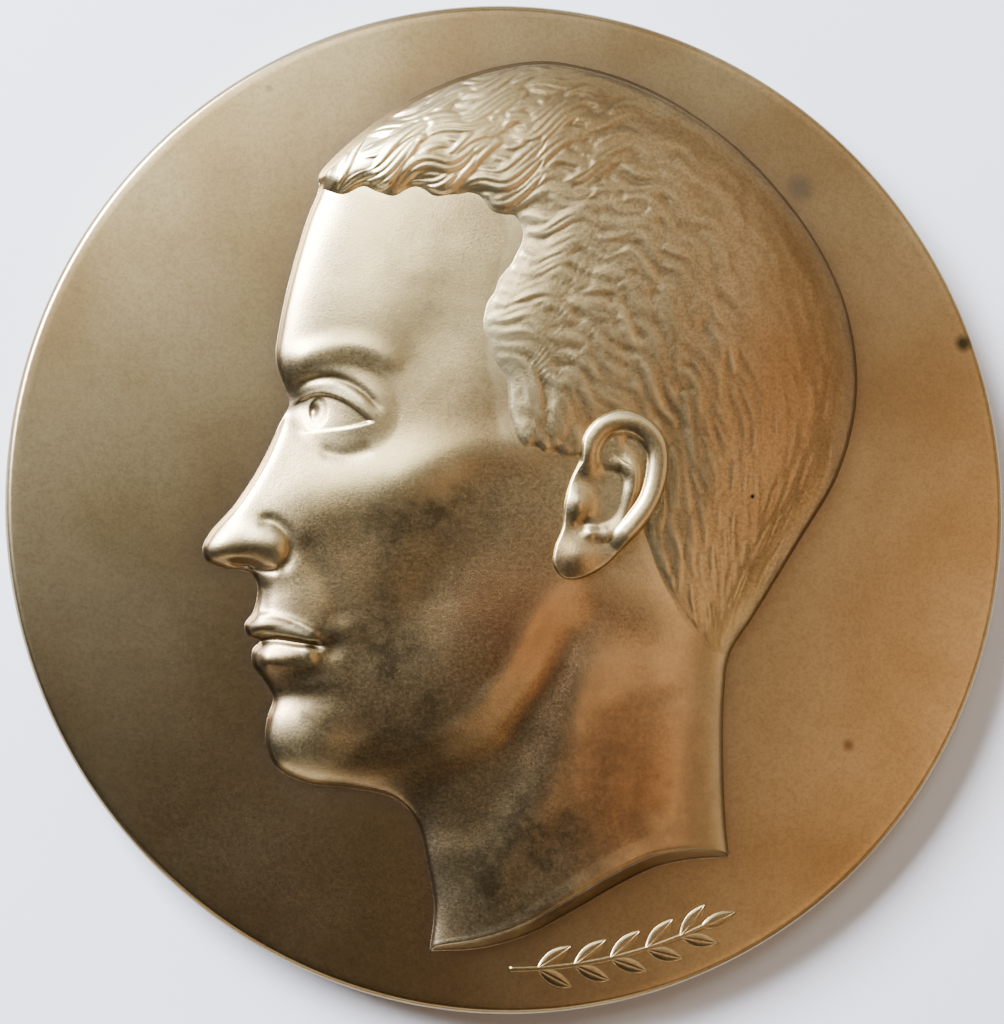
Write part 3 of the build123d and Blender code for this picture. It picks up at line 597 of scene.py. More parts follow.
def combing(places, samples):
    """The direction, rise and wave of the hair at each place, in hundredths of the head."""
    gap = ((places[:, None] - samples[None, :, :2]) ** 2).sum(2)
    weight = 1 / (gap + COMB_REACH ** 2) ** COMB_FALL
    mix = (weight[:, :, None] * samples[None, :, 2:]).sum(1) / weight.sum(1)[:, None]
    return np.arctan2(mix[:, 1], mix[:, 0]), mix[:, 2], mix[:, 3]


Lock = namedtuple("Lock", "line half_width rise tilt shift strands")


def set_roots(kind, rng):
    """Places, in hundredths of the head, where locks of one kind start."""
    (left, low), (right, top) = HAIR_BOX
    roots = np.array([(side, up) for k, up in enumerate(np.arange(low, top, kind.across))
                      for side in np.arange(left + (k % 2) * kind.along / 2, right, kind.along)])
    roots = roots + rng.uniform(-ROOT_STRAY, ROOT_STRAY, roots.shape) * (kind.along, kind.across)
    roots = roots[hair_depth(*at(roots[:, 0], roots[:, 1])) > ROOT_DEPTH]
    hairline = curve(HAIRLINE)
    on_edge = places_along(hairline, np.arange(ROOT_START, lengths_along(hairline)[-1], ROOT_SPACING))
    return np.vstack([roots, on_edge + rng.uniform(-EDGE_ROOT_STRAY, EDGE_ROOT_STRAY, on_edge.shape)])


def grow_locks(kind, rng):
    """The locks of one kind, from the nape forwards, so that each one lies over the one behind it."""
    samples = comb_samples()
    roots = set_roots(kind, rng)
    _, rise, _ = combing(roots, samples)
    roots, rise = roots[rise >= kind.least], rise[rise >= kind.least]
    count = len(roots)
    length = kind.length * rng.uniform(*LENGTH_RANGE, count)
    half_width = kind.half_width * rng.uniform(*WIDTH_RANGE, count) * UNIT
    height = kind.rise * rng.uniform(*RISE_RANGE, count) * np.clip(rise, SMOOTH_RISE, 1)
    shift = rng.uniform(-WAVE_STRAY, WAVE_STRAY, count)
    path = [roots]
    for _ in range(LOCK_STEPS):
        here = path[-1]
        way, _, wave = combing(here, samples)
        phase = 2 * math.pi * (here[:, 0] - WAVE_SLANT * here[:, 1]) / WAVE_LENGTH + shift
        way = way + WAVE_SWING * wave * np.sin(phase)
        path.append(here + (length / LOCK_STEPS)[:, None] * np.column_stack([np.cos(way), np.sin(way)]))
    lines = np.stack(path, axis=1) * UNIT + (HEAD_RIGHT, HEAD_UP)
    tilt = rng.uniform(-TILT_STRAY, TILT_STRAY, count)
    furrow_shift = rng.uniform(-FURROW_STRAY, FURROW_STRAY, count)
    turn = np.arctan2(roots[:, 1] - HAIR_CENTRE[1], roots[:, 0] - HAIR_CENTRE[0])
    for k in np.argsort(turn):
        yield Lock(lines[k], half_width[k], height[k], tilt[k], furrow_shift[k], kind.strands)


def lay_lock(lock, waves, xs, ys):
    """Lays a lock over the ones that are there."""
    low = lock.line.min(0) - lock.half_width
    high = lock.line.max(0) + lock.half_width
    here = np.nonzero((xs > low[0]) & (xs < high[0]) & (ys > low[1]) & (ys < high[1]))[0]
    distance, share, side = near(xs[here], ys[here], lock.line)
    widened = LOCK_ROOT_WIDTH + (1 - LOCK_ROOT_WIDTH) * smoothstep(0, LOCK_ROOT_END, share)
    taper = widened * np.sqrt(np.clip(1 - share ** LOCK_TIP_POWER, LOCK_TIP_WIDTH, 1))
    across = np.clip(distance / (lock.half_width * taper), 0, 1)
    signed = across * side + lock.shift
    body = (1 - across ** 2) ** LOCK_ROUNDING
    for k in range(1, lock.strands):
        furrow = 2 * k / lock.strands - 1
        body = body * (1 - STRAND_FURROW * np.exp(-((signed - furrow) / STRAND_LINE) ** 2))
    crest = lock.rise * (0.5 + 0.5 * np.sin(math.pi * share))
    height = crest * (body + lock.tilt * across * side)
    cover = smoothstep(1, COVER_SIDE, across) * smoothstep(0, COVER_ROOT, share)
    waves[here] += (height - waves[here]) * cover * smoothstep(1, COVER_TIP, share)


def locks_height(x, y):
    """Height of the locks over the smooth hair."""
    rng = np.random.default_rng(HAIR_SEED)
    waves = np.zeros(x.size)
    for kind in GROWTHS[::-1]:
        for lock in grow_locks(kind, rng):
            lay_lock(lock, waves, x.ravel(), y.ravel())
    return blurred(waves.reshape(x.shape), reach=1)


def hair(x, y, bare):
    """Height of the hair over the field, where the skin's height is given."""
    right, up = (x - HEAD_RIGHT) / UNIT, (y - HEAD_UP) / UNIT
    turn = smoothstep(*EDGE_TURN, right - up)
    reach, lift, fall = (a + (b - a) * turn for a, b in zip(EDGE_FRONT, EDGE_NAPE))
    depth = hair_depth(x, y) + (1 - turn) * cloud(x, y, EDGE_LUMPS)
    mass = lift + (HAIR_THICKNESS - lift) * (1 - np.exp(-np.clip(depth, 0, None) / reach))
    mass += RISE_UNIT * swell(x, y, FORELOCK) * smoothstep(*FORELOCK_START, depth)
    from_sides, _, _ = near(x, y, head_line())
    mass *= HAIR_AT_OUTLINE + (1 - HAIR_AT_OUTLINE) * smoothstep(0, HAIR_ROUNDING, from_sides)
    waves = locks_height(x, y)
    full = smoothstep(0, HAIR_ROOM, depth)
    grown = np.where(depth > 0, mass + waves * full, np.maximum(lift + depth * fall, -HAIR_SINK))
    return bare + grown


def ear_place(right, up):
    """A place on the medal, from shares of the ear's height along its lean."""
    c, s = math.cos(math.radians(EAR_LEAN)), math.sin(math.radians(EAR_LEAN))
    across, along = right * c - up * s, right * s + up * c
    return at(EAR_RIGHT + EAR_HEIGHT_SHARE * across, EAR_UP + EAR_HEIGHT_SHARE * along)


def ear_curve(points):
    return np.array([ear_place(*p) for p in curve(points)])


def ear(x, y):
    """Height of the ear over the skin, below zero outside it."""
    size = EAR_HEIGHT_SHARE * UNIT
    outline = ear_curve(EAR_OUTLINE)
    front, back = outline[:, 0].min(), outline[:, 0].max()
    lift = EAR_FRONT_LIFT + (EAR_LIFT - EAR_FRONT_LIFT) * (x - front) / (back - front)

    def bump(mass):
        long, wide, turn = mass.long * size, mass.wide * size, mass.turn + EAR_LEAN
        return mass.rise * np.exp(-oval(x, y, ear_place(mass.right, mass.up), long, wide, turn) ** 2)

    def along(roll):
        """Distance from a roll's middle as a share of its half width, and its rise there."""
        distance, share, _ = near(x, y, ear_curve(roll.points))
        fade = smoothstep(0, roll.fade_in, share) * smoothstep(0, roll.fade_out, 1 - share)
        return distance / (roll.half_width * size), roll.rise * fade

    def round_roll(roll):
        off, rise = along(roll)
        return rise * np.sqrt(1 - np.clip(off, 0, 1) ** 2)

    off, rise = along(EAR_GROOVE)
    height = lift + sum(bump(mass) for mass in EAR_INNER) + rise * np.exp(-off ** 2)
    height = height + round_roll(EAR_FOLD) + round_roll(EAR_LOWER_FOLD)
    height = np.maximum(height, EAR_BOTTOM)
    height = smooth_max(height, lift - EAR_RIM_SINK + round_roll(EAR_RIM), EAR_RIM_BLEND)
    height = smooth_max(height, lift - EAR_FLAP_SINK + bump(EAR_FLAP), EAR_BLEND)
    height = height + sum(bump(mass) for mass in EAR_LOWER)
    from_edge, _, _ = near(x, y, outline)
    edge = np.where(inside(x, y, outline[:-1]), from_edge, -from_edge) * EAR_WALL
    return smooth_min(height, edge, EAR_BLEND)


def cloud(x, y, lumps):
    """Soft random unevenness, up to the rise of its lumps above and below zero."""
    table = np.random.default_rng(lumps.seed).uniform(-1, 1, (CLOUD_CELLS, CLOUD_CELLS))
    u, v = x / lumps.size, y / lumps.size
    i, j = np.floor(u).astype(int), np.floor(v).astype(int)
    s, t = smoothstep(0, 1, u - i), smoothstep(0, 1, v - j)

    def row(above):
        left, right = (table[(i + step) % CLOUD_CELLS, (j + above) % CLOUD_CELLS] for step in (0, 1))
        return left * (1 - s) + right * s

    return lumps.rise * (row(0) * (1 - t) + row(1) * t)


def lengths_along(line):
    return np.concatenate([[0], np.cumsum(np.hypot(*np.diff(line, axis=0).T))])


def places_along(line, lengths):
    run = lengths_along(line)
    return np.column_stack([np.interp(lengths, run, line[:, axis]) for axis in (0, 1)])


def spread(starts, cells, end):
    """Numbers from the first start to the end, evenly spaced within each span."""
    stops = list(starts[1:]) + [end]
    spans = [np.linspace(a, b, count, endpoint=False) for a, b, count in zip(starts, stops, cells)]
    return np.concatenate(spans + [[end]])


# The head's mesh. Its rows run from the face to the back of the head, from the
# crown down, and each band of them starts at a level on either side. Its
# columns start at shares of a row's length.
Rows = namedtuple("Rows", "face back cells")
HEAD_ROWS = [
    Rows(33.4, 25.9, 6), Rows(31.0, 23.2, 56), Rows(13.0, 14.0, 116), Rows(-16.0, -8.0, 64),
    Rows(-25.0, -15.0, 92), Rows(-48.2, -33.0, 30), Rows(-54.0, -38.0, 40), Rows(-71.0, -59.2, 12),
]
Columns = namedtuple("Columns", "start cells")
HEAD_COLUMNS = [
    Columns(0.0, 3), Columns(0.008, 6), Columns(0.020, 110), Columns(0.37, 82), Columns(0.975, 8),
    Columns(0.992, 3),
]


def band_shares(bands):
    """The shares of a length at which the rows or columns of a mesh lie."""
    return spread([band.start for band in bands], [band.cells for band in bands], 1.0)


def head_grid():
    """Rows of places that fill the head's outline, with a margin for the foot of its wall."""
    line, kept = offset(head_line(), -FOOT_WIDTH)
    cut, _ = offset(on_medal(NECK_CUT), -FOOT_WIDTH)
    back_end = (len(BACK_LINE) - 1) * CURVE_STEPS
    at_back = kept[:back_end].sum()
    at_forelock = kept[:back_end + (len(CROWN_LINE) - 1) * CURVE_STEPS].sum()
    line[0] += cut[-1] - on_medal(NECK_CUT)[-1]
    line[-1] += cut[0] - on_medal(NECK_CUT)[0]
    cut[0], cut[-1] = line[-1], line[0]
    back_line = line[:at_back + 1][::-1]
    crown_line = line[at_back:at_forelock + 1][::-1]
    face_line = line[at_forelock:]

    def row_ends(side, levels):
        run = lengths_along(side)
        fallen = np.maximum.accumulate(-side[:, 1])
        starts = np.interp([-(HEAD_UP + level * UNIT) for level in levels], fallen, run)
        starts[0] = 0
        return places_along(side, spread(starts, [band.cells for band in HEAD_ROWS], run[-1]))

    shares = band_shares(HEAD_COLUMNS)
    face = row_ends(face_line, [band.face for band in HEAD_ROWS])
    back = row_ends(back_line, [band.back for band in HEAD_ROWS])
    crown = places_along(crown_line, shares * lengths_along(crown_line)[-1])
    foot = places_along(cut, shares * lengths_along(cut)[-1])
    down = (face[0, 1] - face[:, 1]) / (face[0, 1] - face[-1, 1])
    u, v = shares[None, :, None], down[:, None, None]
    sides = (1 - u) * face[:, None] + u * back[:, None]
    ends = (1 - v) * crown[None] + v * foot[None]
    corners = (1 - v) * ((1 - u) * crown[0] + u * crown[-1]) + v * ((1 - u) * foot[0] + u * foot[-1])
    return sides + ends - corners


# The hair's mesh runs along the locks, from the forelock to the nape, between
# a line just past the hairline and the outline of the skull
HAIR_GUIDE = [
    (-27.0, 29.2), (-20.0, 28.2), (-12.0, 28.4), (-5.0, 26.8), (-3.0, 22.0), (-6.6, 15.0), (-6.8, 9.0),
    (-5.2, 3.0), (-4.6, -3.0), (-1.6, -7.6), (5.0, -8.6), (12.0, -7.4), (14.4, -12.0), (15.4, -19.0),
    (19.4, -27.6), (24.6, -33.8), (29.0, -36.8),
]
HAIR_COLUMNS = [Columns(0.0, 390), Columns(0.5, 210)]
HAIR_ROWS = [Columns(0.0, 4), Columns(0.02, 6), Columns(0.05, 144)]
HAIR_MESH_NAPE = -36.6        # level of the head at which the hair's mesh starts on the nape
HAIR_MESH_FRONT = 30.2        # and the level at which it ends over the forehead
FACE_SIDE = -20.0             # the outline of the face lies left of this place


def hair_grid():
    """Rows of places from the outline of the skull in to the guide."""
    outline, _ = offset(head_line(), -FOOT_WIDTH)
    from_nape = np.argmax(outline[:, 1] > at(0, HAIR_MESH_NAPE)[1])
    face_part = np.nonzero(outline[:, 0] < at(FACE_SIDE, 0)[0])[0]
    to_forelock = face_part[np.argmax(outline[face_part, 1] < at(0, HAIR_MESH_FRONT)[1])]
    skull = outline[from_nape:to_forelock + 1][::-1]
    guide = on_medal(HAIR_GUIDE)
    share = band_shares(HAIR_COLUMNS)
    outer = places_along(skull, share * lengths_along(skull)[-1])
    inner = places_along(guide, share * lengths_along(guide)[-1])
    v = band_shares(HAIR_ROWS)[:, None, None]
    return (1 - v) * outer[None] + v * inner[None]


def square_grid(low, high, pitch):
    """Rows of places over a rectangle."""
    columns = np.linspace(low[0], high[0], int((high[0] - low[0]) / pitch))
    rows = np.linspace(low[1], high[1], int((high[1] - low[1]) / pitch))
    return np.dstack(np.meshgrid(columns, rows))


def blurred(values, reach):
    """Each row and column of a grid averaged over its neighbours."""
    span = 2 * reach + 1
    for axis in (0, 1):
        padded = np.concatenate([np.repeat(values.take([0], axis), reach, axis), values,
                                 np.repeat(values.take([-1], axis), reach + 1, axis)], axis)
        total = np.cumsum(padded, axis)
        count = total.shape[axis]
        values = (total.take(range(span, count), axis) - total.take(range(count - span), axis)) / span
    return values


def add_object(name, data):
    thing = bpy.data.objects.new(name, data)
    bpy.context.scene.collection.objects.link(thing)
    return thing


def mesh_object(bm, name, material):
    mesh = bpy.data.meshes.new(name)
    bm.to_mesh(mesh)
    bm.free()
    mesh.materials.append(material)
    return add_object(name, mesh)


def finish_piece(bm, name, material):
    """Makes a piece of a mesh, in metres at the origin, with its normals outwards."""
    bmesh.ops.recalc_face_normals(bm, faces=bm.faces)
    for face in bm.faces:
        face.smooth = True
    piece = mesh_object(bm, name, material)
    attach(piece, "root")
    return piece


# Marks that the material reads. The rubbed, tarnish and copper marks also paint a highlight, shade and warm
# reflected light.
MARKS = ("worn", "rubbed_and_highlight", "foot", "tarnish_and_shade", "copper_and_warm_light")


def add_marks(piece, marks):
    """Gives a mesh numbers at its vertices for its material to read, 0 where none are given."""
    nothing = np.zeros(len(piece.data.vertices))
    for name in MARKS:
        attribute = piece.data.attributes.new(name, "FLOAT", "POINT")
        attribute.data.foreach_set("value", np.ascontiguousarray(marks.get(name, nothing), np.float32))


def verts_in(geometry):
    return [part for part in geometry if isinstance(part, bmesh.types.BMVert)]


def at_boundary(edges):
    return [edge for edge in edges if edge.is_boundary]


def relief_piece(name, grid, height, material, worn_over):
    """A closed piece whose top follows the grid at a height over the field, with a skirt down into the blank.

    Its worn crests are where it stands over the mean height of some cells to each side.
    """
    rows, columns = grid.shape[:2]
    bm = bmesh.new()
    bmesh.ops.create_grid(bm, x_segments=columns - 1, y_segments=rows - 1, size=1)
    rim = at_boundary(bm.edges)
    skirt = bmesh.ops.extrude_edge_only(bm, edges=rim)["geom"]
    bmesh.ops.translate(bm, verts=verts_in(skirt), vec=(0, 0, -1))
    bmesh.ops.holes_fill(bm, edges=at_boundary(bm.edges), sides=0)
    for edge in rim:
        edge.smooth = False
    convex = height - blurred(height, worn_over)
    worn = np.zeros(len(bm.verts))
    for k, vert in enumerate(bm.verts):
        i = round((vert.co.y + 1) / 2 * (rows - 1))
        j = round((vert.co.x + 1) / 2 * (columns - 1))
        on_top = vert.co.z > -0.5
        level = FIELD_LEVEL + height[i, j] if on_top else RELIEF_BASE
        vert.co = Vector((grid[i, j, 0], grid[i, j, 1], level)) * MM
        worn[k] = convex[i, j] if on_top else 0
    piece = finish_piece(bm, name, material)
    add_marks(piece, {"worn": worn, **patina_and_painted_light_marks(piece)})


def make_blank(material):
    """The disc: a plain flat reverse, a straight edge and a flat field."""
    bm = bmesh.new()
    rings = [(0, 0)]
    turns = [math.pi / 2 * k / CORNER_STEPS for k in range(CORNER_STEPS + 1)]
    for turn in turns:
        inwards, up = 1 - math.sin(turn), 1 - math.cos(turn)
        rings.append((MEDAL_RADIUS - REVERSE_CORNER * inwards, REVERSE_CORNER * up))
    for turn in turns:
        inwards, down = 1 - math.cos(turn), 1 - math.sin(turn)
        rings.append((MEDAL_RADIUS - FIELD_CORNER * inwards, FIELD_LEVEL - FIELD_CORNER * down))
    radius = MEDAL_RADIUS - FIELD_CORNER - FIELD_RING
    while radius > FIELD_RING:
        rings.append((radius, FIELD_LEVEL))
        radius -= FIELD_RING
    rings.append((0, FIELD_LEVEL))
    verts = [bm.verts.new((r * MM, 0, z * MM)) for r, z in rings]
    edges = [bm.edges.new(pair) for pair in zip(verts, verts[1:])]
    bmesh.ops.spin(bm, geom=verts + edges, cent=(0, 0, 0), axis=(0, 0, 1), angle=2 * math.pi,
                   steps=BLANK_STEPS, use_merge=True, use_duplicate=False)
    bmesh.ops.remove_doubles(bm, verts=bm.verts, dist=WELD)
    piece = finish_piece(bm, "medal_blank", material)
    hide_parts("medal")
    add_marks(piece, {"foot": patina_and_painted_light_marks(piece)["foot"]})


def patina_and_painted_light_marks(piece):
    """Numbers from 0 to 1 at a piece's vertices.

    They tell how near the foot of the head's wall is, and how rubbed, darkly
    clouded and coppery the patina is. The rubbed marks also paint highlights,
    the dark clouds paint shade and the coppery ones paint warm reflected light.
    """
    places = np.array([vert.co[:2] for vert in piece.data.vertices]) / MM
    x, y = places[:, 0], places[:, 1]
    from_sides, _, _ = near(x, y, head_line())
    from_cut, _, _ = near(x, y, on_medal(NECK_CUT))
    marks = {"foot": np.exp(-np.minimum(from_sides, from_cut) / FOOT_REACH)}
    for name, masses in (("rubbed_and_highlight", RUBBED_AND_HIGHLIGHT), ("tarnish_and_shade", TARNISH_AND_SHADE), ("copper_and_warm_light", COPPER_AND_WARM_LIGHT)):
        marks[name] = np.clip(sum(swell(x, y, mass) for mass in masses), 0, 1)
    return marks


def make_head(material):
    """The bare head, which goes down under the hair."""
    grid = head_grid()
    x, y = grid[..., 0], grid[..., 1]
    height = skin(x, y) + sum(cloud(x, y, lumps) for lumps in SKIN_LUMPS)
    under_hair = smoothstep(*UNDER_HAIR, hair_depth(x, y))
    lowered_wall = wall(x, y) - UNDER_HAIR_WALL * under_hair
    height = smooth_min(lowered_wall, height - UNDER_HAIR_SKIN * under_hair, WALL_BLEND)
    relief_piece("portrait_head", grid, on_field(height), material, worn_over=4)


def make_hair(material):
    """The hair, which lies over the head."""
    grid = hair_grid()
    x, y = grid[..., 0], grid[..., 1]
    height = smooth_min(wall(x, y), hair(x, y, skin(x, y)), WALL_BLEND)
    relief_piece("portrait_hair", grid, on_field(height), material, worn_over=3)


def make_ear(material):
    """The ear, which stands on the skin."""
    outline = ear_curve(EAR_OUTLINE)
    grid = square_grid(outline.min(0) - EAR_MARGIN, outline.max(0) + EAR_MARGIN, EAR_PITCH)
    x, y = grid[..., 0], grid[..., 1]
    height = skin(x, y) + np.maximum(ear(x, y), -EAR_SINK)
    relief_piece("portrait_ear", grid, height, material, worn_over=5)


def add_blade(bm, cells, place):
    """Adds a closed blade of so many cells along and across it.

    A function gives the place of each vertex, from -1 to 1 along the blade and
    across it, on its top or low in the blank.
    """
    made = bmesh.ops.create_grid(bm, x_segments=cells[0], y_segments=cells[1], size=1)["verts"]
    rim = at_boundary({edge for vert in made for edge in vert.link_edges})
    low = verts_in(bmesh.ops.extrude_edge_only(bm, edges=rim)["geom"])
    for vert in low:
        vert.co.z = -1
    bmesh.ops.holes_fill(bm, edges=at_boundary({edge for vert in low for edge in vert.link_edges}), sides=0)
    for vert in made + low:
        vert.co = place(vert.co.x, vert.co.y, vert.co.z < -0.5)


def leaf_shape(along, turn):
    """The shape of a leaf that starts at an angle along the stem and turns off it."""
    start = Matrix.Rotation(math.radians(along), 4, "Z") @ Matrix.Translation((SPRIG_RADIUS, 0, 0))
    lie = start @ Matrix.Rotation(math.radians(90 + turn), 4, "Z")

    def place(a, b, low):
        t = (a + 1) / 2
        inwards = max(min(t, 1 - LEAF_BLUNT), LEAF_BLUNT)
        half = LEAF_WIDTH / 2 * math.sin(math.pi * inwards) ** LEAF_FULLNESS
        groove = VEIN_DEPTH * math.exp(-(b / VEIN_WIDTH) ** 2)
        point = lie @ Vector((LEAF_LENGTH * t, half * b, 0))
        top = FIELD_LEVEL + SPRIG_RELIEF * (1 - b * b) * (1 - groove) - SPRIG_SINK
        point.z = RELIEF_BASE if low else top
        return point * MM
    return place


def stem_shape(a, b, low):
    """The stem, which runs on a little past both of its ends."""
    start, end = SPRIG_START - STEM_SPARE * LEAF_STEP, SPRIG_END + STEM_SPARE * LEAF_STEP
    turn = math.radians(start + (a + 1) / 2 * (end - start))
    radius = SPRIG_RADIUS + STEM_WIDTH / 2 * b
    top = FIELD_LEVEL + SPRIG_RELIEF * STEM_SHARE * math.sqrt(max(1 - b * b, 0)) - SPRIG_SINK
    return Vector((radius * math.cos(turn), radius * math.sin(turn), RELIEF_BASE if low else top)) * MM


def make_sprig(material):
    """A stem with pairs of leaves and one at its tip, each with a groove along its middle."""
    bm = bmesh.new()
    add_blade(bm, STEM_CELLS, stem_shape)
    add_blade(bm, LEAF_CELLS, leaf_shape(SPRIG_END, 0.0))
    for pair in range(LEAF_PAIRS):
        along = SPRIG_START + (pair + FIRST_LEAVES) * LEAF_STEP
        for spread_angle in (LEAF_SPREAD, -LEAF_SPREAD):
            add_blade(bm, LEAF_CELLS, leaf_shape(along, spread_angle))
    piece = finish_piece(bm, "laurel_sprig", material)
    add_marks(piece, {})


def linear(colour):
    """A linear colour from an sRGB hex value."""
    values = [int(colour[k:k + 2], 16) / 255 for k in (1, 3, 5)]
    return [v / 12.92 if v <= 0.04045 else ((v + 0.055) / 1.055) ** 2.4 for v in values] + [1.0]


def add_node(tree, kind, inputs=None, **settings):
    """Adds a shader node, sets its properties, and fills or links its inputs by name or number."""
    node = tree.nodes.new("ShaderNode" + kind)
    for name, value in settings.items():
        setattr(node, name, value)
    for name, value in (inputs or {}).items():
        if isinstance(value, bpy.types.NodeSocket):
            tree.links.new(value, node.inputs[name])
        else:
            node.inputs[name].default_value = value
    return node


# Places, in millimetres from the medal's centre
Stain = namedtuple("Stain", "x y size strength colour")
STAINS = [
    Stain(20.1, 22.7, 1.3, 0.6, "#66635f"),
    Stain(32.1, 11.8, 0.8, 0.9, "#2b3226"),
    Stain(23.3, -16.8, 0.6, 0.6, "#5a4130"),
    Stain(15.9, 0.5, 0.22, 1.0, "#1d1610"),
    Stain(-17.6, 28.4, 0.35, 0.4, "#55503f"),
]
STAIN_HEART = 0.3             # share of a stain's size within which it has its full strength
FLAT = (1, 1, 0)              # takes the height out of a place


def struck_bronze(name, smoothest, roughest, speckle, sandiness):
    """Struck bronze, sand-fine from the die, with a waxed brown and gold patina.

    The patina gives a satin metal, golden where it is thin and brown where it
    is thick, and the wax gives pale highlights. The rubbed places also hold a
    painted highlight, the dark clouds painted shade and the coppery places a
    painted warm reflection. Its grain lies between two
    roughnesses, and its dark speckle and sandiness are strengths from 0 to 1.
    """
    material = bpy.data.materials.new(name)
    material.use_nodes = True
    tree = material.node_tree
    tree.nodes.clear()
    place = add_node(tree, "TexCoord").outputs["Object"]

    def noise(size, detail, grit=0.5):
        """Unevenness with lumps of a size in millimetres, and finer ones as strong as the grit."""
        return add_node(tree, "TexNoise", {"Vector": place, "Scale": 1 / (size * MM), "Detail": detail,
                                           "Roughness": grit}).outputs["Fac"]

    def between(value, low, high, to_low=0.0, to_high=1.0):
        return add_node(tree, "MapRange", {"Value": value, "From Min": low, "From Max": high,
                                           "To Min": to_low, "To Max": to_high}).outputs[0]

    def mixed(share, first, second):
        return add_node(tree, "Mix", {0: share, 6: first, 7: second}, data_type="RGBA").outputs[2]

    def reckoned(operation, first, second):
        return add_node(tree, "Math", {0: first, 1: second}, operation=operation).outputs[0]

    cloudy = between(noise(13.0, 2.0), 0.38, 0.62)
    ground = mixed(cloudy, linear("#8f7e5e"), linear("#9f9273"))
    ground = mixed(between(noise(0.8, 3.0), 0.5, 0.75, 0.0, 0.15), ground, linear("#6f5f48"))
    ground = mixed(between(noise(0.24, 3.0, 0.75), 0.42, 0.62, 0.0, speckle), ground, linear("#5c4f35"))
    worn, rubbed_and_highlight, foot, tarnish_and_shade, copper_and_warm_light = (add_node(tree, "Attribute", attribute_name=name).outputs["Fac"]
                                           for name in MARKS)
    # Rubbed places: worn gold, and a painted highlight
    ground = mixed(between(rubbed_and_highlight, 0.0, 1.0, 0.0, 0.8), ground, linear("#dccda0"))
    ground = mixed(between(worn, -0.005, -0.035, 0.0, 0.4), ground, linear("#62543f"))
    ground = mixed(between(worn, 0.004, 0.03, 0.0, 0.5), ground, linear("#c4b996"))
    # Coppery places: copper patina, and a painted warm reflection
    ground = mixed(between(copper_and_warm_light, 0.0, 1.0, 0.0, 0.5), ground, linear("#80502f"))
    # Dark clouds: tarnish, and painted shade
    patches = between(noise(3.0, 7.0, 0.72), 0.40, 0.60, 0.25, 1.0)
    tarnish_and_shade_clouds = reckoned("MULTIPLY", tarnish_and_shade, patches)
    ground = mixed(between(tarnish_and_shade_clouds, 0.0, 0.9, 0.0, 0.85), ground, linear("#3a3324"))
    ground = mixed(between(foot, 0.1, 1.0, 0.0, 0.4), ground, linear("#7a6e64"))
    from_above = add_node(tree, "VectorMath", {0: place, 1: FLAT}, operation="MULTIPLY").outputs["Vector"]
    for stain in STAINS:
        middle = (stain.x * MM, stain.y * MM, 0)
        gap = add_node(tree, "VectorMath", {0: from_above, 1: middle}, operation="DISTANCE").outputs["Value"]
        share = between(gap, stain.size * MM, STAIN_HEART * stain.size * MM, 0.0, stain.strength)
        ground = mixed(share, ground, linear(stain.colour))
    grain = between(noise(0.2, 2.0), 0.3, 0.7, smoothest, roughest)
    rough = reckoned("ADD", grain, between(tarnish_and_shade_clouds, 0.0, 1.0, 0.0, 0.08))
    bump = add_node(tree, "Bump", {"Height": noise(0.15, 2.0, 0.6), "Strength": sandiness,
                                   "Distance": 0.02 * MM})
    shader = add_node(tree, "BsdfPrincipled", {"Base Color": ground, "Metallic": 1.0, "Roughness": rough,
                                               "Coat Weight": 0.25, "Coat Roughness": 0.34,
                                               "Normal": bump.outputs[0]})
    add_node(tree, "OutputMaterial", {"Surface": shader.outputs[0]})
    return material


FLOOR_SIZE = 0.6              # half of the floor's side, in metres


def pale_floor():
    """A plain matt pale surface to lie on."""
    material = bpy.data.materials.new("pale_matt_paper")
    material.use_nodes = True
    shader = material.node_tree.nodes["Principled BSDF"]
    shader.inputs["Base Color"].default_value = linear("#bcbfc5")
    shader.inputs["Roughness"].default_value = 0.9
    return material


def make_floor():
    bm = bmesh.new()
    bmesh.ops.create_grid(bm, x_segments=1, y_segments=1, size=FLOOR_SIZE)
    floor = mesh_object(bm, "floor", pale_floor())


def aim(thing, place, target):
    """Puts a light or camera in its place, looking at the target."""
    thing.location = place
    thing.rotation_euler = (Vector(target) - Vector(place)).to_track_quat("-Z", "Y").to_euler()


def around(azimuth, elevation, distance):
    """A place round the medal: azimuth in degrees from +X towards +Y, elevation over the floor."""
    a, e = math.radians(azimuth), math.radians(elevation)
    return Vector((math.cos(a) * math.cos(e), math.sin(a) * math.cos(e), math.sin(e))) * distance


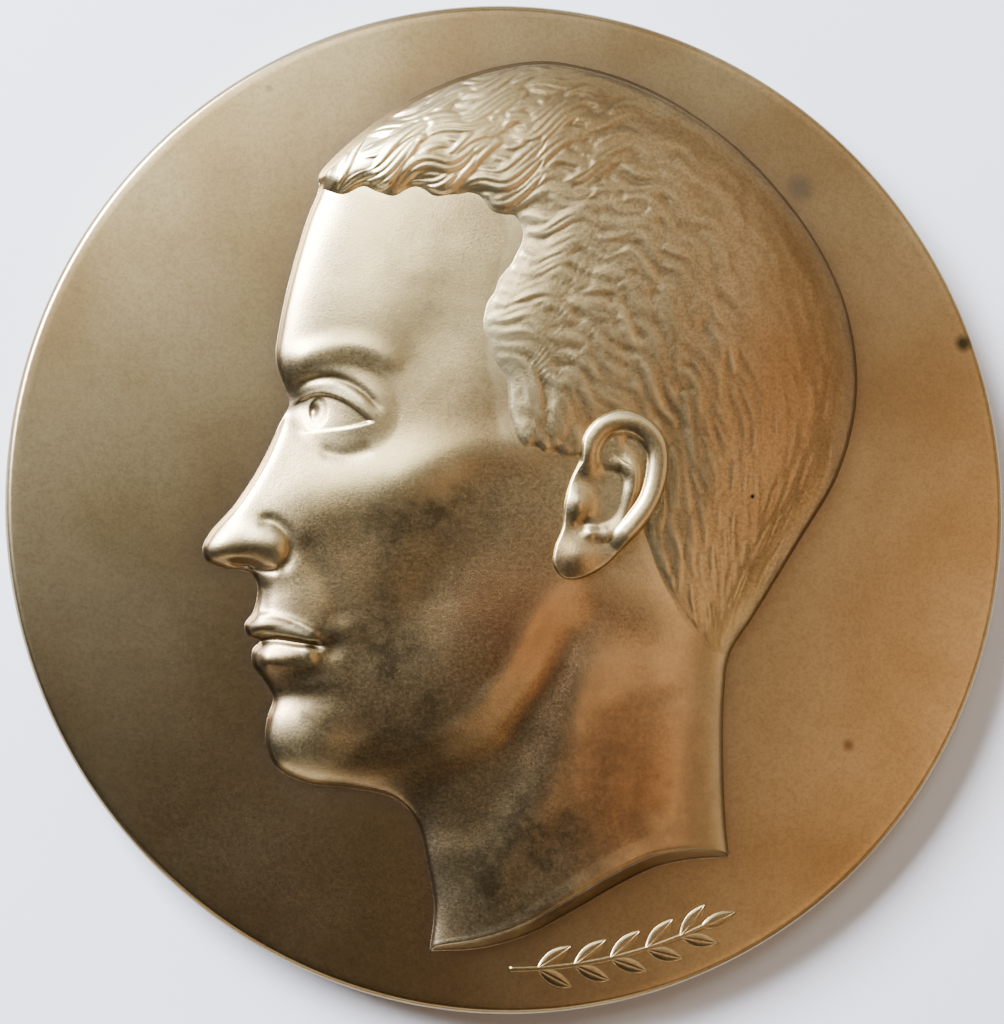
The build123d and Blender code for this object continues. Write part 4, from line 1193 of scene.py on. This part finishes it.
LAMP_DISTANCE = 0.5
Lamp = namedtuple("Lamp", "name azimuth elevation width height watts colour")
LAMPS = [
    Lamp("window", 140, 34, 0.30, 0.22, 15.0, "#f2f5ff"),
    Lamp("upper_glow", 106, 66, 0.16, 0.14, 0.62, "#fbf7ee"),
    Lamp("warm_fill", -17, 64, 0.30, 0.10, 0.25, "#ffd2ae"),
    Lamp("back_fill", 45, 57, 0.20, 0.14, 0.14, "#ffeedd"),
    Lamp("side_fill", 25, 42, 0.50, 0.16, 0.2, "#ffdcb8"),
    Lamp("crown_fill", 78, 26, 0.50, 0.16, 0.45, "#f4ecdf"),
    Lamp("edge_fill", 8, 20, 0.90, 0.20, 0.65, "#ffe8d2"),
    Lamp("nape_fill", -42, 34, 0.50, 0.20, 0.3, "#ffd3a6"),
    Lamp("low_edge_fill", 262, 24, 0.60, 0.16, 0.65, "#ffefe0"),
]
WORLD_STRENGTH = 0.035


def make_lights():
    for lamp in LAMPS:
        light = bpy.data.lights.new(lamp.name, "AREA")
        light.shape = "RECTANGLE"
        light.size = lamp.width
        light.size_y = lamp.height
        light.energy = lamp.watts
        light.color = linear(lamp.colour)[:3]
        aim(add_object(lamp.name, light), around(lamp.azimuth, lamp.elevation, LAMP_DISTANCE), (0, 0, 0))
    world = bpy.data.worlds.new("studio")
    world.use_nodes = True
    background = world.node_tree.nodes["Background"]
    background.inputs["Color"].default_value = linear("#cfc8c0")
    background.inputs["Strength"].default_value = WORLD_STRENGTH
    bpy.context.scene.world = world


CAMERA_AZIMUTH = 201.0        # the photo looks from a little to the left and below
CAMERA_ELEVATION = 80.0
CAMERA_DISTANCE = 0.17
FRAME_WIDTH = 0.07087         # what the picture's width covers at the medal
CAMERA_SHIFT = (-0.0112, -0.0057)


def make_camera():
    camera = bpy.data.cameras.new("camera")
    camera.sensor_fit = "HORIZONTAL"
    camera.lens = camera.sensor_width * CAMERA_DISTANCE / FRAME_WIDTH
    camera.shift_x, camera.shift_y = CAMERA_SHIFT
    camera.clip_start = 0.01
    thing = add_object("camera", camera)
    thing.location = around(CAMERA_AZIMUTH, CAMERA_ELEVATION, CAMERA_DISTANCE)
    back = thing.location.normalized()
    right = Vector((0, 1, 0)).cross(back).normalized()
    thing.rotation_euler = Matrix((right, back.cross(right), back)).transposed().to_euler()
    bpy.context.scene.camera = thing


bpy.context.scene.view_settings.view_transform = "AgX"
bpy.context.scene.view_settings.look = "AgX - Medium High Contrast"
field_bronze = struck_bronze("struck_bronze_field_patina", smoothest=0.276, roughest=0.304,
                             speckle=0.22, sandiness=0.18)
relief_bronze = struck_bronze("struck_bronze_relief_patina", smoothest=0.30, roughest=0.36,
                              speckle=0.42, sandiness=0.4)
make_blank(field_bronze)
make_head(relief_bronze)
make_hair(relief_bronze)
make_ear(relief_bronze)
make_sprig(field_bronze)
make_floor()
make_lights()
make_camera()
